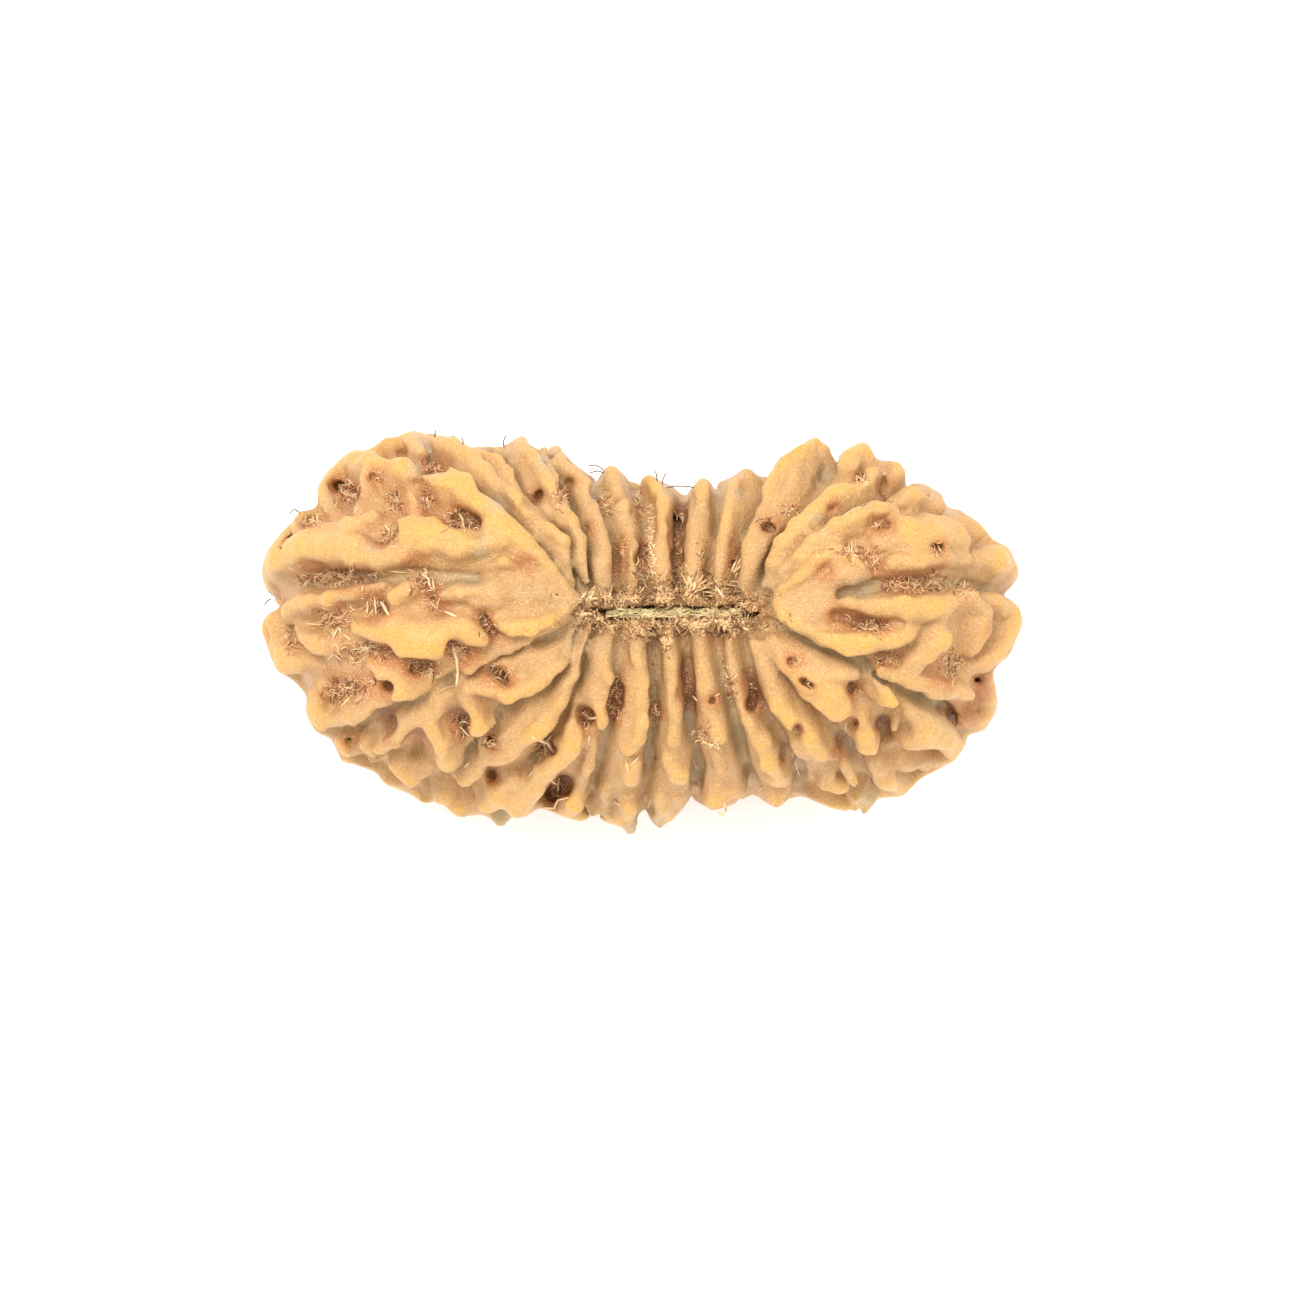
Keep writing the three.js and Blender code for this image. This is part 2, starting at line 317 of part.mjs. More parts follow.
const add = (a, b, s = 1) => [a[0] + b[0] * s, a[1] + b[1] * s, a[2] + b[2] * s];
const dot = (a, b) => a[0] * b[0] + a[1] * b[1] + a[2] * b[2];
const mix = (a, b, w) => a.map((value, i) => value * (1 - w) + b[i] * w);
const clamp = (x, low, high) => Math.min(high, Math.max(low, x));
const unit = (a) => mix([0, 0, 0], a, 1 / Math.hypot(...a));

// small steady noise source, the same at every run
let seed = 22;
function chance() {
  seed = (seed * 16807) % 2147483647;
  return seed / 2147483647;
}

// smaller of two distances with a rounded corner between them
function soften(a, b, k) {
  const h = Math.max(k - Math.abs(a - b), 0) / k;
  return Math.min(a, b) - h * h * k * 0.25;
}

// about how far a point lies outside an ellipsoid
function ellipsoid(p, [centre, half]) {
  const q = add(p, centre, -1);
  const k0 = Math.hypot(q[0] / half[0], q[1] / half[1], q[2] / half[2]);
  const k1 = Math.hypot(q[0] / half[0] ** 2, q[1] / half[1] ** 2, q[2] / half[2] ** 2) + 1e-9;
  return k0 * (k0 - 1) / k1;
}

// the stone without ribs
function core(p) {
  return soften(soften(ellipsoid(p, LEFT_END), ellipsoid(p, WAIST), BLEND), ellipsoid(p, RIGHT_END), BLEND);
}

function coreNormal(p) {
  const e = 0.02;
  return unit([
    core([p[0] + e, p[1], p[2]]) - core([p[0] - e, p[1], p[2]]),
    core([p[0], p[1] + e, p[2]]) - core([p[0], p[1] - e, p[2]]),
    core([p[0], p[1], p[2] + e]) - core([p[0], p[1], p[2] - e]),
  ]);
}

// point at picture place u, v and depth t toward the eye
function seen(u, v, t) {
  const s = 1 - t / EYE_FAR;
  return add(add([u * s, 0, 0], UP, v * s), EYE, t);
}

// first point along the line of sight at height c over the core, or the nearest one it passes
function castOnCore(u, v, c) {
  let best = 1e9;
  let nearest = null;
  for (let t = 16; t > -8; t -= 0.1) {
    const p = seen(u, v, t);
    const f = core(p) - c;
    if (f < best) {
      best = f;
      nearest = p;
    }
    if (f <= 0) return p;
  }
  return nearest;
}

// point on the core going out from the spine in the given direction
function outward(spine, direction, c) {
  let low = 0;
  let high = 26;
  for (let i = 0; i < 30; i += 1) {
    const middle = (low + high) / 2;
    if (core(add(spine, direction, middle)) < c) low = middle;
    else high = middle;
  }
  return add(spine, direction, low);
}

// place on the hidden lower side: w runs from the outline place p (0) to the lower pole (1)
function under(p, w, c) {
  const spineX = clamp(p[0] * 0.62, -10, 8.4);
  const flat = unit([p[0] - spineX, p[1] + 1, 0]);
  const start = Math.atan2(-p[2], Math.hypot(p[0] - spineX, p[1] + 1));
  const turn = start + (88 * RAD - start) * w;
  const spine = [spineX * (1 - w) + clamp(p[0] * 0.2, -3, 3) * w, -1, 0];
  return outward(spine, [flat[0] * Math.cos(turn), flat[1] * Math.cos(turn), -Math.sin(turn)], c);
}

const boxSize = 2;
const nearRidges = new Map();
const nearHollows = new Map();

function cellKey(p) {
  return p.map((x) => Math.floor(x / boxSize)).join();
}

// files a tube piece under every cell it can touch
function store(map, a, b, reach, piece) {
  const low = a.map((x, i) => Math.floor((Math.min(x, b[i]) - reach) / boxSize));
  const high = a.map((x, i) => Math.floor((Math.max(x, b[i]) + reach) / boxSize));
  for (let i = low[0]; i <= high[0]; i += 1) {
    for (let j = low[1]; j <= high[1]; j += 1) {
      for (let k = low[2]; k <= high[2]; k += 1) {
        const key = [i, j, k].join();
        if (!map.has(key)) map.set(key, []);
        map.get(key).push(piece);
      }
    }
  }
}

function addRidge(points) {
  points.forEach(([a, ra], i) => {
    const [b, rb] = points[Math.min(i + 1, points.length - 1)];
    if (i + 1 === points.length && i > 0) return;
    store(nearRidges, a, b, Math.max(ra, rb) + 1.4, [a, b, ra, rb, core(a), core(b)]);
  });
}

function addHollow(points) {
  points.forEach(([a, ra, up], i) => {
    const [b, rb] = points[Math.min(i + 1, points.length - 1)];
    if (i + 1 === points.length && i > 0) return;
    store(nearHollows, a, add(b, up, 2.5), Math.max(ra, rb) * 1.6 + 0.8, [a, b, ra, rb, up]);
  });
}

// squared distance from p to the piece a, b and the share along it
function along(p, a, b) {
  const ab = add(b, a, -1);
  const ap = add(p, a, -1);
  const w = clamp(dot(ap, ab) / Math.max(dot(ab, ab), 1e-9), 0, 1);
  const d = add(ap, ab, -w);
  return [dot(d, d), w];
}

// a ridge stands on the valley with sloping sides and a narrow round crest
function ridgeDistance(p, height, [a, b, ra, rb, ca, cb]) {
  const [square, w] = along(p, a, b);
  const full = ra * (1 - w) + rb * w;
  const radius = CREST_SHARE * full;
  const over = height - (ca * (1 - w) + cb * w);
  const gap = over - (full - radius);
  const side = Math.max(square - over * over, 0);
  if (gap > 0) return Math.sqrt(side + gap * gap) - radius;
  return Math.sqrt(side) - radius + FOOT * gap;
}

// a hollow is a round-bottomed well that widens along its axis
function hollowDistance(p, [a, b, ra, rb, up]) {
  const ap = add(p, a, -1);
  const h = dot(ap, up);
  const flat = add(ap, up, -Math.max(h, 0));
  const ab = add(b, a, -1);
  const w = clamp(dot(flat, ab) / Math.max(dot(ab, ab), 1e-9), 0, 1);
  return Math.hypot(...add(flat, ab, -w)) - (ra * (1 - w) + rb * w) - 0.25 * clamp(h, 0, 3);
}

// how far a place shows outside the outline, negative inside
function beyondOutline(p) {
  const s = 1 - dot(p, EYE) / EYE_FAR;
  const u = p[0] / s;
  const v = dot(p, UP) / s;
  let square = 1e9;
  let inside = false;
  OUTLINE.forEach(([au, av], i) => {
    const [bu, bv] = OUTLINE[(i + 1) % OUTLINE.length];
    const du = bu - au;
    const dv = bv - av;
    const w = clamp(((u - au) * du + (v - av) * dv) / (du * du + dv * dv), 0, 1);
    square = Math.min(square, (u - au - w * du) ** 2 + (v - av - w * dv) ** 2);
    if ((av < v) !== (bv < v) && u < au + (v - av) / dv * du) inside = !inside;
  });
  return inside ? -Math.sqrt(square) : Math.sqrt(square);
}

// distances over the core from a foot place to the nearest and the second nearest crease
function creasesBeside(p, lines) {
  let first = 3;
  let second = 3;
  for (const line of lines) {
    let own = 3;
    for (let i = 1; i < line.length; i += 1) {
      if (Math.hypot(...add(line[i], p, -1)) < 5) own = Math.min(own, Math.sqrt(along(p, line[i - 1], line[i])[0]));
    }
    second = Math.min(second, Math.max(first, own));
    first = Math.min(first, own);
  }
  return [first, second];
}

// the ribs' cross-section where the stone turns away from the eye
function rim(height, beyond, foot) {
  const top = 1.35 * (1 - Math.exp(-foot.first / 0.4)) - 0.35;
  const band = Math.max(foot.facing - 0.05, -0.4 - foot.facing) * 4;
  return -soften(-Math.max(beyond, band), top - height, 0.5);
}

// the stone with ribs and hollows; foot tells how the place under p lies among the creases
function stone(p, foot) {
  const height = core(p);
  const width = clamp((4.2 - foot.first - foot.second) / 2.2, 0.2, 1);
  let f = height + VALLEY_DROP - SWELL * width * (1 - Math.exp(-foot.first / SWELL_REACH));
  for (const piece of nearRidges.get(cellKey(p)) ?? []) f = soften(f, ridgeDistance(p, height, piece), RIDGE_BLEND);
  const beyond = foot.facing < 0.6 ? beyondOutline(p) : -9;
  f = soften(f, rim(height, beyond, foot), 0.3);
  f += GROOVE_DEPTH * Math.exp(-((foot.first / GROOVE_WIDTH) ** 2));
  for (const piece of nearHollows.get(cellKey(p)) ?? []) f = -soften(-f, hollowDistance(p, piece), 0.15);
  return -soften(-f, -beyond, 0.3);
}

// how far the outermost surface lies over a place on the core, along the core's normal
function heightOver(p, n, lines) {
  const [first, second] = creasesBeside(p, lines);
  const foot = { first, second, facing: dot(n, EYE) };
  let reach = 3;
  while (reach > -1.6 && stone(add(p, n, reach), foot) > 0) reach -= 0.12;
  let high = reach + 0.12;
  for (let i = 0; i < 8; i += 1) {
    const middle = (reach + high) / 2;
    if (stone(add(p, n, middle), foot) > 0) high = middle;
    else reach = middle;
  }
  return reach;
}

// puts a place back on the bare core
function ontoCore(p) {
  let q = p;
  for (let i = 0; i < 3; i += 1) q = add(q, coreNormal(q), -core(q));
  return q;
}

// runs a crest out to a blunt point
function pointed(crest) {
  if (crest.length < 3) return crest;
  const [[u0, v0], [u, v, c, r]] = crest.slice(-2);
  const far = 0.75 * r / Math.max(0.3, Math.hypot(u - u0, v - v0));
  return [...crest, [u + (u - u0) * far, v + (v - v0) * far, c + 0.15 * r, 0.35 * r]];
}

// crests and wells the eye sees
function addSeenRelief() {
  for (const crest of RIDGES) addRidge(pointed(crest).map(([u, v, c, r]) => [castOnCore(u, v, c), r]));
  for (const well of HOLLOWS) addHollow(well.map(([u, v, c, r]) => [castOnCore(u, v, c), r, EYE]));
}

// ribs over the hidden lower side: crests run on between the lines to the lower pole, waving a
// little, with knobs to either side and now and then a well
function addHiddenRelief(lines) {
  lines.forEach((line, i) => {
    const next = lines[(i + 1) % lines.length];
    const middle = Math.round(BANDS * 0.6);
    const width = Math.hypot(...add(line[middle], next[middle], -1));
    const crests = Math.max(1, Math.round(width / 3));
    for (let k = 0; k < crests; k += 1) addHiddenCrest(line, next, (k + 0.5) / crests, crests);
  });
}

function addHiddenCrest(line, next, share, crests) {
  const wave = chance() * 6;
  const crest = [];
  const last = BANDS - 3 - 3 * Math.floor(3 * chance());
  for (let band = 4; band <= last; band += 2) {
    const p = ontoCore(mix(line[band], next[band], share));
    const n = coreNormal(p);
    const facing = dot(n, EYE);
    if (facing > -0.06) continue;
    const across = add(next[band], line[band], -1);
    const width = Math.hypot(...across) / crests;
    const side = unit(across);
    const radius = clamp(width * 0.4, 0.32, 1.15) * (0.85 + 0.3 * chance());
    const sway = Math.sin(wave + band * 0.9) * width * 0.1;
    const rise = 1.25 * Math.min(1, 0.45 - facing * 1.5);
    const top = add(add(p, side, sway), n, rise - radius);
    crest.push([top, radius]);
    const way = chance() < 0.5 ? -1 : 1;
    if (width > 1.4 && chance() < 0.7) {
      const knob = add(add(p, side, sway + way * width * 0.24), n, rise - 0.5);
      addRidge([[top, radius * 0.8], [knob, 0.5 + 0.2 * chance()]]);
    }
    if (width > 1.6 && chance() < 0.2) {
      addHollow([[add(add(p, side, -way * width * 0.4), n, -0.1), 0.3, n]]);
    }
  }
  if (crest.length > 1) addRidge(crest);
}

// a line between ribs as evenly spaced places on the core, slit first, lower pole last
function lineOnCore(points) {
  const path = points.map(([u, v]) => castOnCore(u, v, 0));
  const end = path[path.length - 1];
  for (let w = 0.08; w <= 1.001; w += 0.08) path.push(under(end, Math.min(w, 0.985), 0));
  const run = [0];
  for (let i = 1; i < path.length; i += 1) run.push(run[i - 1] + Math.hypot(...add(path[i], path[i - 1], -1)));
  const total = run[run.length - 1];
  const even = [];
  let i = 1;
  for (let band = 0; band <= BANDS; band += 1) {
    const goal = total * band / BANDS;
    while (i < path.length - 1 && run[i] < goal) i += 1;
    even.push(mix(path[i - 1], path[i], clamp((goal - run[i - 1]) / (run[i] - run[i - 1]), 0, 1)));
  }
  return even;
}

// one column of places per mesh column, all round the stone
function columns(lines) {
  const all = [];
  LINES.forEach(([count], i) => {
    const next = lines[(i + 1) % lines.length];
    for (let k = 0; k < count; k += 1) all.push(lines[i].map((p, band) => mix(p, next[band], k / count)));
  });
  return all;
}

// ring of points inside the slit: the lip ring shrunk by share and lowered by depth
function slitRing(lip, share, depth) {
  const middle = lip.reduce((sum, p) => add(sum, p, 1 / lip.length), [0, 0, 0]);
  return lip.map((p) => {
    const q = mix(middle, p, share);
    return [q[0], q[1], mix([middle[2]], [p[2]], 0.5)[0] - depth];
  });
}

// evens out how far neighbouring points stand over the core, so that narrow relief stays smooth
function evenHeights(heights) {
  const count = heights[0].length;
  return heights.map((ring, band) => ring.map((h, i) => {
    const before = heights[Math.max(band - 1, 0)][i];
    const after = heights[Math.min(band + 1, heights.length - 1)][i];
    return h * 0.72 + (before + after + ring[(i + 1) % count] + ring[(i + count - 1) % count]) * 0.07;
  }));
}

function stoneGeometry(lines) {
  const bare = columns(lines);
  const feet = [];
  for (let band = 0; band <= BANDS; band += 1) feet.push(bare.map((column) => ontoCore(column[band])));
  const normals = feet.map((ring) => ring.map(coreNormal));
  const over = feet.map((ring, band) => ring.map((p, i) => heightOver(p, normals[band][i], lines)));
  const heights = evenHeights(over);
  const rings = feet.map((ring, band) => ring.map((p, i) => add(p, normals[band][i], heights[band][i])));
  rings.unshift(slitRing(rings[0], SLIT_FLOOR_SHARE, SLIT_DEPTH));
  const points = rings.flat().map((p) => [p[0] + MOVE[0], p[1] + MOVE[1], Math.max(p[2] + MOVE[2], 0)]);
  const count = bare.length;
  const faces = [];
  for (let band = 0; band < rings.length - 1; band += 1) {
    for (let i = 0; i < count; i += 1) {
      const a = band * count + i;
      const b = band * count + (i + 1) % count;
      if ((band + i) % 2) faces.push([a, a + count, b + count], [a, b + count, b]);
      else faces.push([a, a + count, b], [b, a + count, b + count]);
    }
  }
  closeRing(points, faces, 0, count, 1);
  closeRing(points, faces, (rings.length - 1) * count, count, -1);
  return { points, faces };
}

// fans a ring shut from its middle
function closeRing(points, faces, first, count, turn) {
  const ring = points.slice(first, first + count);
  const middle = ring.reduce((sum, p) => add(sum, p, 1 / count), [0, 0, 0]);
  const centre = points.push(middle) - 1;
  for (let i = 0; i < count; i += 1) {
    const a = first + i;
    const b = first + (i + 1) % count;
    faces.push(turn > 0 ? [centre, a, b] : [centre, b, a]);
  }
}

function geometryOf(points, faces) {
  const geometry = new THREE.BufferGeometry();
  geometry.setAttribute('position', new THREE.BufferAttribute(new Float32Array(points.flat()), 3));
  geometry.setIndex(faces.flat());
  geometry.computeVertexNormals();
  return geometry;
}

// the strand: a flat dried fibre bundle with a wavy run and tapered ends
function strandGeometry(floor) {
  const steps = 24;
  const points = [];
  const faces = [];
  const corners = [[-1, -0.6], [-0.6, -1], [0.6, -1], [1, -0.6], [1, 0.6], [0.6, 1], [-0.6, 1], [-1, 0.6]];
  for (let i = 0; i <= steps; i += 1) {
    const s = i / steps * 2 - 1;
    const taper = 0.45 + 0.55 * Math.min(1, (1 - Math.abs(s)) * 5);
    const x = s * STRAND_LENGTH / 2;
    for (const [side, top] of corners) {
      const y = floor[1] + STRAND_V + side * STRAND_WIDTH / 2 * taper + 0.05 * Math.sin(i * 1.3);
      const z = floor[2] + STRAND_HEIGHT * (0.5 + top * 0.5 * taper) + 0.06 * Math.sin(i * 0.9);
      points.push([x + floor[0], y, z]);
    }
  }
  const m = corners.length;
  for (let i = 0; i < steps; i += 1) {
    for (let j = 0; j < m; j += 1) {
      const a = i * m + j;
      const b = i * m + (j + 1) % m;
      faces.push([a, b, a + m], [b, b + m, a + m]);
    }
  }
  closeRing(points, faces, 0, m, -1);
  closeRing(points, faces, steps * m, m, 1);
  return geometryOf(points, faces);
}

const lines = LINES.map(([, ...points]) => lineOnCore(points));
addSeenRelief();
addHiddenRelief(lines);
const { points, faces } = stoneGeometry(lines);

const stoneLook = new THREE.MeshStandardMaterial({ color: 0xdaa86f, roughness: 0.62, metalness: 0 });
const strandLook = new THREE.MeshStandardMaterial({ color: 0xdfba86, roughness: 0.9, metalness: 0 });
const seedStone = new THREE.Mesh(geometryOf(points, faces), stoneLook);
seedStone.name = 'seed_stone';
const slitFloor = points[points.length - 2];
const strand = new THREE.Mesh(strandGeometry([slitFloor[0], slitFloor[1], slitFloor[2] + STRAND_CLEARANCE]), strandLook);
strand.name = 'pith_strip';

const group = new THREE.Group();
group.name = 'rudraksha_seed';
group.add(seedStone, strand);
export default group;
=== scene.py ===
import math
import bpy
import numpy as np
import openvdb
from mathutils import Matrix, Vector


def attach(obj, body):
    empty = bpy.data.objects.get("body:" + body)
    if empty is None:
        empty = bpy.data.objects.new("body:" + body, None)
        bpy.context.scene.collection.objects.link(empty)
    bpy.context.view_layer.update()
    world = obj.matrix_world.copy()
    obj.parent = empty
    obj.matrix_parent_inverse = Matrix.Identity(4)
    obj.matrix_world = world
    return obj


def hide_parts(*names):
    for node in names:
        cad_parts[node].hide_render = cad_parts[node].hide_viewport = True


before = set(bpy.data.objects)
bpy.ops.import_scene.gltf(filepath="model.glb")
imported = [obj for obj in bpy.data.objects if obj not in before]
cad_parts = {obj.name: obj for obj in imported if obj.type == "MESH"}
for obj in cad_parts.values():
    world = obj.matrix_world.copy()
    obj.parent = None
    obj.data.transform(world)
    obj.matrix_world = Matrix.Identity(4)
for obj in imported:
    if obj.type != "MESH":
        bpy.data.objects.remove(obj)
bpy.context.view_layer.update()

# The stone: a hard seed stone, grown as two swollen ends and a waist, with twenty-two ribs that fan
# out from the slit at its upper pole. Worked in millimetres about the middle of the stone; MOVE puts
# it on its resting plane.
EYE_TILT = math.radians(76)
EYE_FAR = 360.0
EYE = np.array([0, -math.cos(EYE_TILT), math.sin(EYE_TILT)])
UP = np.array([0, EYE[2], -EYE[1]])
MOVE = np.array([1.483, 0.423, 11.5])
LEFT_END = ((-10.2, 0.0, 0.0), (9.3, 8.2, 11.7))
RIGHT_END = ((8.6, -0.1, 0.0), (7.9, 7.9, 11.3))
WAIST = ((-0.5, -1.5, -0.8), (8.5, 7.4, 8.8))
BLEND = 5.0
VALLEY_DROP = 0.65
FOOT = 0.36
RIDGE_BLEND = 0.22
# a crest is this much narrower than the body it stands on, at the same height
CREST_SHARE = 0.74


def put(name, data):
    """a new object in the scene"""
    thing = bpy.data.objects.new(name, data)
    bpy.context.scene.collection.objects.link(thing)
    return thing


def soften(a, b, k):
    """the smaller of two distances, rounded over k where they meet"""
    h = np.maximum(k - np.abs(a - b), 0) / k
    return np.minimum(a, b) - h * h * k * 0.25


def swelling(p, end):
    """distance to an ellipsoid, negative inside"""
    centre, half = end
    q = (p - np.array(centre, p.dtype)) / np.array(half, p.dtype)
    k0 = np.sqrt((q * q).sum(-1))
    q = q / np.array(half, p.dtype)
    return k0 * (k0 - 1) / (np.sqrt((q * q).sum(-1)) + 1e-9)


def bare(p):
    """how far p lies outside the stone without its ribs"""
    return soften(soften(swelling(p, LEFT_END), swelling(p, WAIST), BLEND), swelling(p, RIGHT_END), BLEND)


def slope(p, e=0.02):
    """the way straight out of the bare stone"""
    steps = np.eye(3) * e
    g = np.stack([bare(p + s) - bare(p - s) for s in steps], -1)
    return g / np.linalg.norm(g, axis=-1, keepdims=True)


# The ribs are read from above: u to the right and v up from the middle of the slit. seen() is the
# place that shows at u, v at depth t, and lay() finds it at height c over the bare stone.
def seen(u, v, t):
    s = 1 - np.asarray(t) / EYE_FAR
    return np.multiply.outer(u * s, (1.0, 0, 0)) + np.multiply.outer(v * s, UP) + np.multiply.outer(t, EYE)


DEPTHS = np.arange(16.0, -8.0, -0.1)


def lay(u, v, c):
    places = seen(u, v, DEPTHS)
    over = bare(places) - c
    hit = np.nonzero(over <= 0)[0]
    return places[hit[0] if len(hit) else int(np.argmin(over))]


